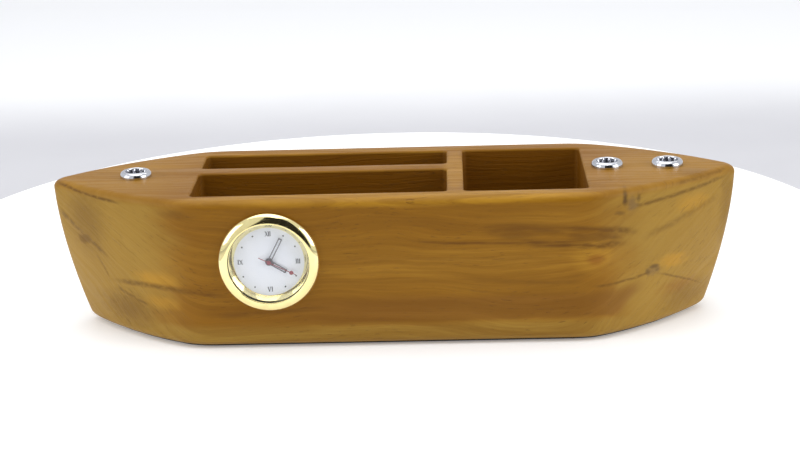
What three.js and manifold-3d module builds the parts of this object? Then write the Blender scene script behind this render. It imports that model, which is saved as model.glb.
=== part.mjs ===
// A boat-shaped desk tidy cut from solid wood, with a small quartz insert clock in its front wall.
// Millimetres, +Z up. The origin is the middle of the underside, X runs from bow to bow and the
// clock looks along -Y.
import * as THREE from "three";
import { mergeVertices } from "three/addons/utils/BufferGeometryUtils.js";
import Module from "manifold-3d";

const wasm = await Module();
wasm.setup();

// ---------------------------------------------------------------- Driving dimensions

// Hull
const HULL_WIDTH = 76;
const DECK_Z = 55;
const FELT_THICK = 1;
const GLUE_LINE = 0.02;
const EDGE_RADIUS = 3;
const SHOULDER_X = 72; // where the straight side turns into the bow
const SHOULDER_ROUNDING = 7;
const BOW_ENTRY_DEG = 24; // the bow's angle to the side at the shoulder
const BOW_EXIT_DEG = 45; // and at the stem
const BOW_APEX_X = 127.7; // where the two bow curves would cross, before the stem is rounded
const STEM_ROUNDING = 4.5;
const RAKE_START_X = 70; // outboard of this, each stem leans in towards the keel
const RAKE_SHORTENING = 12.2;
const RAKE_POWER = 1.7;
const FELT_INSET = 3.8;

// Pockets, each [low, high]
const POCKET_FLOOR_Z = 12;
const POCKET_CORNER = 2;
const LONG_POCKET_X = [-72, 20];
const SQUARE_POCKET_X = [26, 70.5];
const FRONT_POCKET_Y = [-29.7, 1.7];
const BACK_POCKET_Y = [9.3, 28.5];

// Pen holes and their metal bushes
const PEN_HOLES = { left: -95.3, right_inner: 79.2, right_outer: 101.3 };
const PEN_HOLE_RADIUS = 4;
const PEN_HOLE_FLOOR_Z = 20;
const BUSH_FLANGE_RADIUS = 5.9;
const BUSH_DOME_HEIGHT = 2.3;
const BUSH_BARREL_RADIUS = 4.6;
const BUSH_BARREL_LENGTH = 9;
const BUSH_BORE_RADIUS = 3.9;
const BUSH_RIBS = 10;
const BUSH_RIB_HEIGHT = 0.5;

// Clock: its group's z runs out of the front face of the hull, so depths into the wood are negative
const CLOCK_X = -43.7;
const CLOCK_Z = 32.5;
const CLOCK_BORE_RADIUS = 16.7;
const BEZEL_RADIUS = 18.2;
const BEZEL_HEIGHT = 2.95;
const BEZEL_INNER_RADIUS = 14.55;
const CASE_RADIUS = 15.4;
const CASE_INNER_RADIUS = 14.9;
const CASE_BACK_Z = -9.05;
const CASE_BACK_THICK = 0.8;
const LENS_RADIUS = 14.2;
const LENS_Z = [1.2, 1.95];
const DIAL_Z = [-1.1, -0.8];
const DIAL_RADIUS = 14.8;
const DIAL_SEEN_RADIUS = 12.6;
const PLATE_RADIUS = 12.5;
const MAIN_PLATE_Z = [-3.3, -2.7];
const BRIDGE_Z = [-6.9, -6.4];
const BOARD_Z = [-7.3, -7.0];
const PILLARS = [[-9.5, 6.5], [6.5, 9], [3.5, -10]];
const CELL_X = -6;
const CELL_Y = -6;
const CELL_RADIUS = 3.4;
const CELL_Z = [-6.2, -3.6];
const CELL_DOOR_RADIUS = 3.8;
const RUNNING_GAP = 0.05;

// Hands, clockwise from 12
const HOUR_HAND = { degrees: 121.8, length: 7.1, width: 1.5, bore: 0.88, z: [-0.45, -0.3] };
const MINUTE_HAND = { degrees: 27.6, length: 9.8, width: 1.4, bore: 0.58, z: [0.05, 0.2] };
const SECOND_HAND = { degrees: 116.5, length: 10.6, tail: 4.1, disc: 0.75, discAt: 8.8, z: [0.55, 0.67] };

// Gear teeth, as shares of the module and of the tooth pitch
const ADDENDUM = 0.62;
const DEDENDUM = 0.95;
const TIP_SHARE = 0.18;
const ROOT_SHARE = 0.5;

const FINE = 36; // facets of the largest rings
const MEDIUM = 20;
const SMALL = 8;

// ---------------------------------------------------------------- Solids

// A closed solid of a three.js geometry, with its faces turned outwards.
function toSolid(geometry) {
  const bare = geometry.index ? geometry.toNonIndexed() : geometry.clone();
  bare.deleteAttribute("normal");
  bare.deleteAttribute("uv");
  const merged = mergeVertices(bare, 1e-4);
  const vertProperties = new Float32Array(merged.attributes.position.array);
  const triVerts = new Uint32Array(merged.index.array);
  const solid = new wasm.Manifold(new wasm.Mesh({ numProp: 3, vertProperties, triVerts }));
  if (solid.volume() > 0) return solid;
  return new wasm.Manifold(
    new wasm.Mesh({ numProp: 3, vertProperties, triVerts: triVerts.slice().reverse() }),
  );
}

function toGeometry(solid) {
  const mesh = solid.getMesh();
  const geometry = new THREE.BufferGeometry();
  geometry.setAttribute("position", new THREE.BufferAttribute(mesh.vertProperties, 3));
  geometry.setIndex(new THREE.BufferAttribute(mesh.triVerts, 1));
  geometry.computeVertexNormals();
  return geometry;
}

function join(...geometries) {
  return toGeometry(geometries.map(toSolid).reduce((a, b) => a.add(b)));
}

function cut(base, ...tools) {
  return toGeometry(tools.map(toSolid).reduce((a, b) => a.subtract(b), toSolid(base)));
}

// A solid of revolution about Z from [radius, z] points; the profile closes on itself or on the axis.
function turned(profile, facets = MEDIUM) {
  const points = profile.map(([radius, z]) => new THREE.Vector2(radius, z));
  return new THREE.LatheGeometry(points, facets).rotateX(Math.PI / 2);
}

function rod(radius, [low, high], x = 0, y = 0, facets = SMALL) {
  return turned([[0, low], [radius, low], [radius, high], [0, high]], facets).translate(x, y, 0);
}

function tube(inner, outer, [low, high], facets = MEDIUM) {
  return turned([[inner, low], [outer, low], [outer, high], [inner, high], [inner, low]], facets);
}

function box([x0, x1], [y0, y1], [z0, z1]) {
  const geometry = new THREE.BoxGeometry(x1 - x0, y1 - y0, z1 - z0);
  return geometry.translate((x0 + x1) / 2, (y0 + y1) / 2, (z0 + z1) / 2);
}

function extruded(shape, [low, high], curveSegments = 4) {
  const options = { depth: high - low, bevelEnabled: false, curveSegments };
  return new THREE.ExtrudeGeometry(shape, options).translate(0, 0, low);
}

// ---------------------------------------------------------------- Materials

function material(color, roughness, metalness) {
  return new THREE.MeshStandardMaterial({ color, roughness, metalness });
}

const WOOD = material(0xa07a3c, 0.5, 0);
const FELT = material(0x14120f, 0.95, 0);
const CHROME = material(0xd8d8dc, 0.12, 1);
const GOLD = material(0xf0dc90, 0.15, 1);
const GLASS = material(0xf4f8fa, 0.05, 0);
const RUBBER = material(0x1c1c1c, 0.8, 0);
const DIAL_WHITE = material(0xeef1f6, 0.6, 0);
const BLACK_PLASTIC = material(0x202020, 0.5, 0);
const WHITE_PLASTIC = material(0xe4e2da, 0.5, 0);
const HAND_GREY = material(0x38363a, 0.4, 0.5);
const HAND_RED = material(0xb02838, 0.5, 0);
const STEEL = material(0xb4b6ba, 0.3, 1);
const BRASS = material(0xc8a850, 0.3, 1);
const COPPER = material(0xa8602c, 0.4, 1);
const BOARD_GREEN = material(0x1c6038, 0.5, 0);
const MAGNET = material(0x505056, 0.4, 1);

// ---------------------------------------------------------------- Hull

// One closed plan outline, every side moved in by inset.
function planOutline(inset) {
  const entry = THREE.MathUtils.degToRad(BOW_ENTRY_DEG);
  const exit = THREE.MathUtils.degToRad(BOW_EXIT_DEG);
  const side = HULL_WIDTH / 2 - inset;
  const shoulder = SHOULDER_X - inset * Math.tan(entry / 2);
  const apex = BOW_APEX_X - inset / Math.sin(exit);
  const slopeIn = Math.tan(entry);
  const slopeOut = Math.tan(exit);
  const middleX = (slopeOut * apex - side - slopeIn * shoulder) / (slopeOut - slopeIn);
  const middleY = slopeOut * (apex - middleX);
  const roundX = SHOULDER_ROUNDING * Math.cos(entry);
  const roundY = SHOULDER_ROUNDING * Math.sin(entry);
  const stemX = apex - STEM_ROUNDING * Math.cos(exit);
  const stemY = STEM_ROUNDING * Math.sin(exit);
  const outline = new THREE.Shape();
  outline.moveTo(-shoulder + SHOULDER_ROUNDING, -side);
  for (const end of [1, -1]) {
    // once round each bow, against the clock
    outline.lineTo(end * (shoulder - SHOULDER_ROUNDING), -end * side);
    outline.quadraticCurveTo(end * shoulder, -end * side, end * (shoulder + roundX), -end * (side - roundY));
    outline.quadraticCurveTo(end * middleX, -end * middleY, end * stemX, -end * stemY);
    outline.quadraticCurveTo(end * apex, 0, end * stemX, end * stemY);
    outline.quadraticCurveTo(end * middleX, end * middleY, end * (shoulder + roundX), end * (side - roundY));
    outline.quadraticCurveTo(end * shoulder, end * side, end * (shoulder - SHOULDER_ROUNDING), end * side);
  }
  return outline;
}

// Leans both bows in towards the keel.
function rake(geometry) {
  const position = geometry.attributes.position;
  const reach = BOW_APEX_X - RAKE_START_X;
  for (let i = 0; i < position.count; i += 1) {
    const x = position.getX(i);
    const beyond = Math.abs(x) - RAKE_START_X;
    if (beyond > 0) {
      const drop = (DECK_Z - position.getZ(i)) / DECK_Z;
      const share = 1 - (RAKE_SHORTENING / reach) * Math.pow(drop, RAKE_POWER);
      position.setX(i, Math.sign(x) * (RAKE_START_X + beyond * share));
    }
  }
  return geometry;
}

function pocket([x0, x1], [y0, y1]) {
  const r = POCKET_CORNER;
  const shape = new THREE.Shape();
  shape.moveTo(x0 + r, y0);
  shape.lineTo(x1 - r, y0);
  shape.absarc(x1 - r, y0 + r, r, -Math.PI / 2, 0);
  shape.absarc(x1 - r, y1 - r, r, 0, Math.PI / 2);
  shape.absarc(x0 + r, y1 - r, r, Math.PI / 2, Math.PI);
  shape.absarc(x0 + r, y0 + r, r, Math.PI, Math.PI * 1.5);
  return extruded(shape, [POCKET_FLOOR_Z, DECK_Z + 1]);
}

function hullBlank() {
  const bottom = FELT_THICK + GLUE_LINE;
  const options = {
    depth: DECK_Z - bottom - 2 * EDGE_RADIUS,
    steps: 4,
    curveSegments: 5,
    bevelThickness: EDGE_RADIUS,
    bevelSize: EDGE_RADIUS,
    bevelOffset: -EDGE_RADIUS,
    bevelSegments: 3,
  };
  const block = new THREE.ExtrudeGeometry(planOutline(0), options);
  return rake(block.translate(0, 0, bottom + EDGE_RADIUS));
}

function hull() {
  const penHoles = Object.values(PEN_HOLES).flatMap((x) => [
    rod(PEN_HOLE_RADIUS, [PEN_HOLE_FLOOR_Z, DECK_Z + 1], x, 0, MEDIUM),
    rod(BUSH_BARREL_RADIUS + RUNNING_GAP, [DECK_Z - BUSH_BARREL_LENGTH - 1, DECK_Z + 1], x, 0, MEDIUM),
  ]);
  const bore = rod(CLOCK_BORE_RADIUS, [-12, 2], 0, 0, FINE);
  bore.rotateX(Math.PI / 2).translate(CLOCK_X, -HULL_WIDTH / 2, CLOCK_Z);
  return cut(
    hullBlank(),
    pocket(LONG_POCKET_X, FRONT_POCKET_Y),
    pocket(LONG_POCKET_X, BACK_POCKET_Y),
    pocket(SQUARE_POCKET_X, [FRONT_POCKET_Y[0], BACK_POCKET_Y[1]]),
    bore,
    ...penHoles,
  );
}

function baseFelt() {
  return rake(extruded(planOutline(FELT_INSET), [0, FELT_THICK], 6));
}

// A domed flange on a barrel, with ribs down the bore that grip a pen.
function penBush() {
  const top = BUSH_DOME_HEIGHT;
  const body = turned([
    [BUSH_BORE_RADIUS, -BUSH_BARREL_LENGTH],
    [BUSH_BARREL_RADIUS, -BUSH_BARREL_LENGTH],
    [BUSH_BARREL_RADIUS, 0.03],
    [BUSH_FLANGE_RADIUS, 0.03],
    [BUSH_FLANGE_RADIUS, 0.5],
    [BUSH_FLANGE_RADIUS - 0.5, top * 0.72],
    [BUSH_FLANGE_RADIUS - 1.4, top],
    [BUSH_BORE_RADIUS, top * 0.88],
    [BUSH_BORE_RADIUS, -BUSH_BARREL_LENGTH],
  ]);
  const ribs = [];
  for (let i = 0; i < BUSH_RIBS; i += 1) {
    const reach = [BUSH_BORE_RADIUS - BUSH_RIB_HEIGHT, BUSH_BORE_RADIUS + 0.2];
    const rib = box(reach, [-0.4, 0.4], [-BUSH_BARREL_LENGTH, top * 0.6]);
    ribs.push(rib.rotateZ((i * 2 * Math.PI) / BUSH_RIBS));
  }
  return join(body, ...ribs);
}

// ---------------------------------------------------------------- Gear train layout

const CENTRE = { x: 0, y: 0 };

function beside(arbor, distance, degrees) {
  const angle = THREE.MathUtils.degToRad(degrees);
  return { x: arbor.x + distance * Math.cos(angle), y: arbor.y + distance * Math.sin(angle) };
}

function pitchDistance(teethA, teethB, module) {
  return (module * (teethA + teethB)) / 2;
}

function gear(arbor, teeth, module, phase = 0) {
  return { arbor, teeth, module, phase };
}

// A gear turned so that its tooth gap faces the partner's tooth on the line between the two arbors.
function inMesh(partner, arbor, teeth) {
  const line = Math.atan2(arbor.y - partner.arbor.y, arbor.x - partner.arbor.x);
  const partnerPitch = (2 * Math.PI) / partner.teeth;
  const pitch = (2 * Math.PI) / teeth;
  const offset = (partner.phase - line) / partnerPitch;
  return gear(arbor, teeth, partner.module, line + Math.PI + (0.5 - offset) * pitch);
}

const secondsWheelGear = gear(CENTRE, 36, 0.24);
const intermediateArbor = beside(CENTRE, pitchDistance(36, 6, 0.24), 0);
const intermediatePinionGear = inMesh(secondsWheelGear, intermediateArbor, 6);
const intermediateWheelGear = gear(intermediateArbor, 30, 0.2);
const rotorArbor = beside(intermediateArbor, pitchDistance(30, 6, 0.2), -40);
const rotorPinionGear = inMesh(intermediateWheelGear, rotorArbor, 6);
const secondsPinionGear = gear(CENTRE, 6, 0.2);
const thirdDistance = pitchDistance(45, 6, 0.2);
const thirdArbor = beside(CENTRE, thirdDistance, 150);
const thirdWheelGear = inMesh(secondsPinionGear, thirdArbor, 45);
const thirdPinionGear = gear(thirdArbor, 6, (2 * thirdDistance) / (48 + 6));
const centreWheelGear = inMesh(thirdPinionGear, CENTRE, 48);
const cannonPinionGear = gear(CENTRE, 8, 0.25);
const minuteArbor = beside(CENTRE, pitchDistance(24, 8, 0.25), 90);
const minuteWheelGear = inMesh(cannonPinionGear, minuteArbor, 24);
const minutePinionGear = gear(minuteArbor, 8, 0.2);
const hourWheelGear = inMesh(minutePinionGear, CENTRE, 32);
const settingArbor = beside(minuteArbor, pitchDistance(24, 8, 0.25), 60);
const settingPinionGear = inMesh(minuteWheelGear, settingArbor, 8);

// The toothed disc of a gear, about its own arbor.
function toothed({ arbor, teeth, module, phase }, z) {
  const pitchRadius = (module * teeth) / 2;
  const root = pitchRadius - DEDENDUM * module;
  const tip = pitchRadius + ADDENDUM * module;
  const pitch = (2 * Math.PI) / teeth;
  const shape = new THREE.Shape();
  for (let i = 0; i < teeth; i += 1) {
    const middle = phase + i * pitch;
    const corners = [[root, -ROOT_SHARE], [tip, -TIP_SHARE], [tip, TIP_SHARE], [root, ROOT_SHARE]];
    for (const [radius, share] of corners) {
      const angle = middle + (share * pitch) / 2;
      const x = radius * Math.cos(angle);
      const y = radius * Math.sin(angle);
      if (shape.curves.length || shape.currentPoint.length()) shape.lineTo(x, y);
      else shape.moveTo(x, y);
    }
  }
  return extruded(shape, z).translate(arbor.x, arbor.y, 0);
}

// ---------------------------------------------------------------- Wheels

const PIVOT_RADIUS = 0.2;
const ARBOR_Z = [-6.7, -3.0]; // pivots in the main plate and the bridge

function arborRod({ x, y }, z = ARBOR_Z, radius = PIVOT_RADIUS) {
  return rod(radius, z, x, y);
}

function rotorPinion() {
  return join(toothed(rotorPinionGear, [-4.85, -4.35]), arborRod(rotorArbor));
}

function rotorMagnet() {
  const ring = tube(PIVOT_RADIUS + RUNNING_GAP, 0.95, [-6.05, -5.15], 20);
  return ring.translate(rotorArbor.x, rotorArbor.y, 0);
}

function intermediateWheel() {
  return join(
    toothed(intermediateWheelGear, [-4.75, -4.45]),
    toothed(intermediatePinionGear, [-5.55, -4.75]),
    arborRod(intermediateArbor),
  );
}

function secondsWheel() {
  return join(
    toothed(secondsWheelGear, [-5.5, -5.2]),
    toothed(secondsPinionGear, [-5.2, -4.3]),
    arborRod(CENTRE, [ARBOR_Z[0], SECOND_HAND.z[0] - 0.02]),
  );
}

function thirdWheel() {
  return join(
    toothed(thirdWheelGear, [-4.7, -4.4]),
    toothed(thirdPinionGear, [-4.4, -3.5]),
    arborRod(thirdArbor),
  );
}

function centreWheel() {
  return cut(toothed(centreWheelGear, [-3.9, -3.6]), rod(MINUTE_HAND.bore, [-5, 0]));
}

function cannonPinion() {
  const pipe = rod(MINUTE_HAND.bore - 0.03, [-3.95, MINUTE_HAND.z[1]]);
  return cut(join(toothed(cannonPinionGear, [-2.5, -2.0]), pipe), rod(0.3, [-5, 1]));
}

function minuteWheel() {
  const wheel = toothed(minuteWheelGear, [-2.5, -2.05]);
  const pinion = toothed(minutePinionGear, [-2.05, -1.25]);
  return cut(join(wheel, pinion), arborRod(minuteArbor, [-5, 0], 0.3 + RUNNING_GAP));
}

function hourWheel() {
  const pipe = rod(HOUR_HAND.bore - 0.03, [-1.65, HOUR_HAND.z[1]], 0, 0, MEDIUM);
  return cut(join(toothed(hourWheelGear, [-1.65, -1.3]), pipe), rod(0.65, [-5, 1], 0, 0, MEDIUM));
}

function settingStem() {
  return join(toothed(settingPinionGear, [-2.55, -1.95]), arborRod(settingArbor, [-9.9, -1.95], 0.5));
}

// A fluted disc on the end of the stem.
function settingKnob() {
  const flutes = 18;
  const shape = new THREE.Shape();
  for (let i = 0; i < flutes * 2; i += 1) {
    const angle = (i * Math.PI) / flutes;
    const radius = i % 2 ? 2.4 : 2.15;
    if (i) shape.lineTo(radius * Math.cos(angle), radius * Math.sin(angle));
    else shape.moveTo(radius, 0);
  }
  const disc = extruded(shape, [-10.6, -9.25]).translate(settingArbor.x, settingArbor.y, 0);
  return cut(disc, arborRod(settingArbor, [-9.95, -9], 0.53));
}

// ---------------------------------------------------------------- Hands

function pointAt(geometry, degrees) {
  return geometry.rotateZ(-THREE.MathUtils.degToRad(degrees));
}

// An open-work baton: a slim frame with a slot down its middle, on a round boss.
function baton({ degrees, length, width, bore, z }) {
  const rail = width * 0.24;
  const boss = bore + 0.5;
  const bar = box([-width / 2, width / 2], [0, length], z);
  const slot = box([rail - width / 2, width / 2 - rail], [boss + 0.6, length - rail * 1.4], [z[0] - 1, z[1] + 1]);
  const blade = join(cut(bar, slot), rod(boss, z, 0, 0, MEDIUM));
  return pointAt(cut(blade, rod(bore, [z[0] - 1, z[1] + 1], 0, 0, MEDIUM)), degrees);
}

function secondHand() {
  const { degrees, length, tail, disc, discAt, z } = SECOND_HAND;
  const needle = box([-0.14, 0.14], [-tail, length], z);
  const boss = rod(0.75, z, 0, 0, 20);
  const moon = rod(disc, z, 0, discAt, 20);
  return pointAt(join(needle, boss, moon), degrees);
}

// ---------------------------------------------------------------- Case

function bezel() {
  const crown = BEZEL_HEIGHT;
  return turned(
    [
      [CASE_RADIUS + RUNNING_GAP, 0.05],
      [BEZEL_RADIUS, 0.05],
      [BEZEL_RADIUS, 0.6],
      [BEZEL_RADIUS - 0.28, crown * 0.46],
      [BEZEL_RADIUS - 0.85, crown * 0.67],
      [BEZEL_RADIUS - 1.7, crown * 0.83],
      [BEZEL_RADIUS - 2.7, crown * 0.95],
      [BEZEL_RADIUS - 3.3, crown],
      [BEZEL_INNER_RADIUS, crown * 0.97],
      [BEZEL_INNER_RADIUS, 1.15],
      [CASE_RADIUS + RUNNING_GAP, 1.15],
      [CASE_RADIUS + RUNNING_GAP, 0.05],
    ],
    FINE,
  );
}

function lens() {
  return rod(LENS_RADIUS, LENS_Z, 0, 0, FINE);
}

function lensGasket() {
  return tube(LENS_RADIUS + 0.03, BEZEL_INNER_RADIUS - 0.03, LENS_Z, FINE);
}

// The sloping ring between the glass and the dial.
function dialRing() {
  const low = DIAL_Z[1] + 0.03;
  return turned(
    [
      [DIAL_SEEN_RADIUS, low],
      [CASE_INNER_RADIUS - RUNNING_GAP, low],
      [CASE_INNER_RADIUS - RUNNING_GAP, LENS_Z[0] - 0.05],
      [LENS_RADIUS - 0.2, LENS_Z[0] - 0.05],
      [DIAL_SEEN_RADIUS, low + 0.2],
      [DIAL_SEEN_RADIUS, low],
    ],
    FINE,
  );
}

function dial() {
  return tube(1, DIAL_RADIUS, DIAL_Z, FINE);
}

function caseCup() {
  return tube(CASE_INNER_RADIUS, CASE_RADIUS, [CASE_BACK_Z + CASE_BACK_THICK + 0.03, 1.1], FINE);
}

// A ribbed rubber band that holds the insert in its bore.
function frictionRing() {
  const profile = [[CASE_RADIUS + RUNNING_GAP, -7.6], [16.1, -7.6]];
  for (const rib of [-6, -2.7]) {
    profile.push([16.1, rib - 0.5], [CLOCK_BORE_RADIUS - 0.1, rib], [16.1, rib + 0.5]);
  }
  profile.push([16.1, -1.1], [CASE_RADIUS + RUNNING_GAP, -1.1], [CASE_RADIUS + RUNNING_GAP, -7.6]);
  return turned(profile, FINE);
}

function caseBack() {
  const plate = rod(CASE_RADIUS, [CASE_BACK_Z, CASE_BACK_Z + CASE_BACK_THICK], 0, 0, FINE);
  const spigotTop = CASE_BACK_Z + CASE_BACK_THICK + 0.8;
  const spigot = tube(CASE_INNER_RADIUS - 0.6, CASE_INNER_RADIUS - RUNNING_GAP, [CASE_BACK_Z + 0.2, spigotTop], FINE);
  const reach = [CASE_BACK_Z - 1, CASE_BACK_Z + 2];
  return cut(
    join(plate, spigot),
    rod(CELL_DOOR_RADIUS + 0.1, reach, CELL_X, CELL_Y, MEDIUM),
    arborRod(settingArbor, reach, 0.75),
  );
}

// A plug with a coin slot that closes the hole over the cell.
function cellDoor() {
  const shoulder = CASE_BACK_Z + CASE_BACK_THICK;
  const plug = turned([
    [0, CASE_BACK_Z],
    [CELL_DOOR_RADIUS, CASE_BACK_Z],
    [CELL_DOOR_RADIUS, shoulder],
    [2.6, shoulder],
    [2.6, CELL_Z[0] - 0.05],
    [0, CELL_Z[0] - 0.05],
  ]);
  const slot = box([-2.6, 2.6], [-0.45, 0.45], [CASE_BACK_Z - 1, CASE_BACK_Z + 0.45]);
  return cut(plug, slot.rotateZ(0.4)).translate(CELL_X, CELL_Y, 0);
}

// ---------------------------------------------------------------- Movement

function movementHolder() {
  return tube(PLATE_RADIUS + 0.1, DIAL_RADIUS, [BRIDGE_Z[0], DIAL_Z[0] - 0.05], FINE);
}

function pivotHoles(arbors, z) {
  return arbors.map((arbor) => arborRod(arbor, z, PIVOT_RADIUS + RUNNING_GAP));
}

function mainPlate() {
  const reach = [MAIN_PLATE_Z[0] - 1, MAIN_PLATE_Z[1] + 1];
  const pillars = PILLARS.map(([x, y]) => rod(0.9, [BRIDGE_Z[1] + 0.02, MAIN_PLATE_Z[0] + 0.1], x, y));
  const threads = PILLARS.map(([x, y]) => rod(0.4, [BRIDGE_Z[1] - 1, BRIDGE_Z[1] + 1.6], x, y));
  const post = arborRod(minuteArbor, [MAIN_PLATE_Z[0], -1.25], 0.3);
  const plate = rod(PLATE_RADIUS, MAIN_PLATE_Z, 0, 0, FINE);
  const drilled = cut(
    join(plate, ...pillars),
    rod(0.75, reach, 0, 0, 20),
    arborRod(settingArbor, reach, 0.6),
    ...pivotHoles([rotorArbor, intermediateArbor, thirdArbor], reach),
    ...threads,
  );
  return join(drilled, post);
}

function trainBridge() {
  const reach = [BRIDGE_Z[0] - 1, BRIDGE_Z[1] + 1];
  return cut(
    rod(PLATE_RADIUS, BRIDGE_Z, 0, 0, FINE),
    rod(CELL_RADIUS + 0.3, reach, CELL_X, CELL_Y, MEDIUM),
    arborRod(settingArbor, reach, 0.65),
    ...pivotHoles([CENTRE, rotorArbor, intermediateArbor, thirdArbor], reach),
    ...PILLARS.map(([x, y]) => rod(0.42, reach, x, y)),
  );
}

function plateScrew([x, y]) {
  const head = BRIDGE_Z[0] - 0.02;
  const screw = turned(
    [[0, head - 0.4], [0.85, head - 0.4], [0.85, head], [0.35, head], [0.35, head + 1.8], [0, head + 1.8]],
    SMALL,
  );
  const slot = box([-1, 1], [-0.12, 0.12], [head - 1, head - 0.2]);
  return cut(screw, slot).translate(x, y, 0);
}

function circuitBoard() {
  const board = box([-7, 4.8], [3.2, 9.4], BOARD_Z);
  return cut(board, arborRod(settingArbor, [BOARD_Z[0] - 1, BOARD_Z[1] + 1], 0.9));
}

function controlChip() {
  const low = BOARD_Z[0] - 0.5;
  const blob = turned(
    [[0, low], [0.9, low + 0.05], [1.3, low + 0.25], [1.5, BOARD_Z[0] - 0.02], [0, BOARD_Z[0] - 0.02]],
    20,
  );
  return blob.translate(-3.4, 6.2, 0);
}

function quartzCan() {
  const can = turned([[0, -3], [0.75, -3], [0.75, 2.8], [0.55, 3], [0, 3]], 16);
  return can.rotateY(Math.PI / 2).translate(-3.5, 9.4, -4.9);
}

const STATOR_Z = [-5.85, -5.45];
const COIL_X = 10.8;
const CORE_END = 5.3;

function statorPlate() {
  const bar = box([6.4, 9], [-CORE_END, CORE_END], STATOR_Z);
  const upper = box([8.9, 11.2], [4.2, CORE_END], STATOR_Z);
  const lower = box([8.9, 11.2], [-CORE_END, -4.2], STATOR_Z);
  const eye = rod(1.85, STATOR_Z, rotorArbor.x, rotorArbor.y, 20);
  const hole = rod(1.25, [-7, -4], rotorArbor.x, rotorArbor.y, 20);
  return cut(join(bar, upper, lower, eye), hole);
}

function coilCore() {
  return box([COIL_X - 0.4, COIL_X + 0.4], [-CORE_END, CORE_END], [STATOR_Z[1] + 0.03, STATOR_Z[1] + 0.83]);
}

function coilWinding() {
  const middle = STATOR_Z[1] + 0.43;
  const winding = rod(0.9, [-3.8, 3.8], 0, 0, 20).rotateX(Math.PI / 2).translate(COIL_X, 0, middle);
  const core = box([COIL_X - 0.45, COIL_X + 0.45], [-5, 5], [middle - 0.45, middle + 0.45]);
  return cut(winding, core);
}

function cell() {
  const [low, high] = CELL_Z;
  const body = turned([
    [0, low],
    [CELL_RADIUS - 0.15, low],
    [CELL_RADIUS, low + 0.15],
    [CELL_RADIUS, high - 0.6],
    [CELL_RADIUS - 0.5, high - 0.4],
    [CELL_RADIUS - 0.6, high],
    [0, high],
  ]);
  return body.translate(CELL_X, CELL_Y, 0);
}

// A leaf that bears on the side of the cell.
function contactPlus() {
  const leaf = cut(
    tube(CELL_RADIUS + 0.05, CELL_RADIUS + 0.2, [-6.1, -4.4]),
    box([-1.5, 9], [-9, 9], [-9, 0]),
  );
  return leaf.translate(CELL_X, CELL_Y, 0);
}

// A strip under the face of the cell.
function contactMinus() {
  const z = [CELL_Z[1] + 0.03, MAIN_PLATE_Z[0] - 0.03];
  return box([-0.6, 0.6], [-2.2, 3.9], z).translate(CELL_X, CELL_Y, 0);
}

// ---------------------------------------------------------------- Assembly

const tidy = new THREE.Group();
const clock = new THREE.Group();
clock.rotation.x = Math.PI / 2;
clock.position.set(CLOCK_X, -HULL_WIDTH / 2, CLOCK_Z);
tidy.add(clock);

function place(group, name, geometry, finish) {
  const mesh = new THREE.Mesh(join(geometry), finish);
  mesh.name = name;
  group.add(mesh);
  return mesh;
}

place(tidy, "hull", hull(), WOOD);
place(tidy, "base_felt", baseFelt(), FELT);
for (const [side, x] of Object.entries(PEN_HOLES)) {
  place(tidy, `pen_bush_${side}`, penBush(), CHROME).position.set(x, 0, DECK_Z);
}

place(clock, "clock_bezel", bezel(), GOLD);
place(clock, "clock_lens", lens(), GLASS);
place(clock, "lens_gasket", lensGasket(), RUBBER);
place(clock, "dial_ring", dialRing(), GOLD);
place(clock, "dial", dial(), DIAL_WHITE);
place(clock, "case_cup", caseCup(), GOLD);
place(clock, "friction_ring", frictionRing(), RUBBER);
place(clock, "case_back", caseBack(), BLACK_PLASTIC);
place(clock, "cell_door", cellDoor(), BLACK_PLASTIC);
place(clock, "movement_holder", movementHolder(), WHITE_PLASTIC);
place(clock, "main_plate", mainPlate(), WHITE_PLASTIC);
place(clock, "train_bridge", trainBridge(), BLACK_PLASTIC);
PILLARS.forEach((pillar, i) => place(clock, `plate_screw_${i + 1}`, plateScrew(pillar), STEEL));
place(clock, "circuit_board", circuitBoard(), BOARD_GREEN);
place(clock, "control_chip", controlChip(), BLACK_PLASTIC);
place(clock, "quartz_can", quartzCan(), STEEL);
place(clock, "stator_plate", statorPlate(), STEEL);
place(clock, "coil_core", coilCore(), STEEL);
place(clock, "coil_winding", coilWinding(), COPPER);
place(clock, "button_cell", cell(), STEEL);
place(clock, "cell_contact_plus", contactPlus(), BRASS);
place(clock, "cell_contact_minus", contactMinus(), BRASS);

place(clock, "rotor_magnet", rotorMagnet(), MAGNET);
place(clock, "rotor_pinion", rotorPinion(), WHITE_PLASTIC);
place(clock, "intermediate_wheel", intermediateWheel(), WHITE_PLASTIC);
place(clock, "seconds_wheel", secondsWheel(), WHITE_PLASTIC);
place(clock, "third_wheel", thirdWheel(), WHITE_PLASTIC);
place(clock, "centre_wheel", centreWheel(), BRASS);
place(clock, "cannon_pinion", cannonPinion(), BRASS);
place(clock, "minute_wheel", minuteWheel(), WHITE_PLASTIC);
place(clock, "hour_wheel", hourWheel(), BRASS);
place(clock, "setting_stem", settingStem(), STEEL);
place(clock, "setting_knob", settingKnob(), BLACK_PLASTIC);
place(clock, "hour_hand", baton(HOUR_HAND), HAND_GREY);
place(clock, "minute_hand", baton(MINUTE_HAND), HAND_GREY);
place(clock, "second_hand", secondHand(), HAND_RED);

export default tidy;
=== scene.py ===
# %% [markdown]
# # A boat-shaped desk tidy with a clock in its side
# The real object is one block of golden hardwood, sawn to a boat's outline, with pockets milled into
# its deck, three chromed bushes for pens and a small quartz insert clock pressed into its front wall.
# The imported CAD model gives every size. Here each visible piece is made again with finer curves and a
# procedural finish, and rides on the CAD body that it belongs to, so the clock still pulls out.

import math

import bmesh
import bpy
from mathutils import Matrix, Vector


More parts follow.
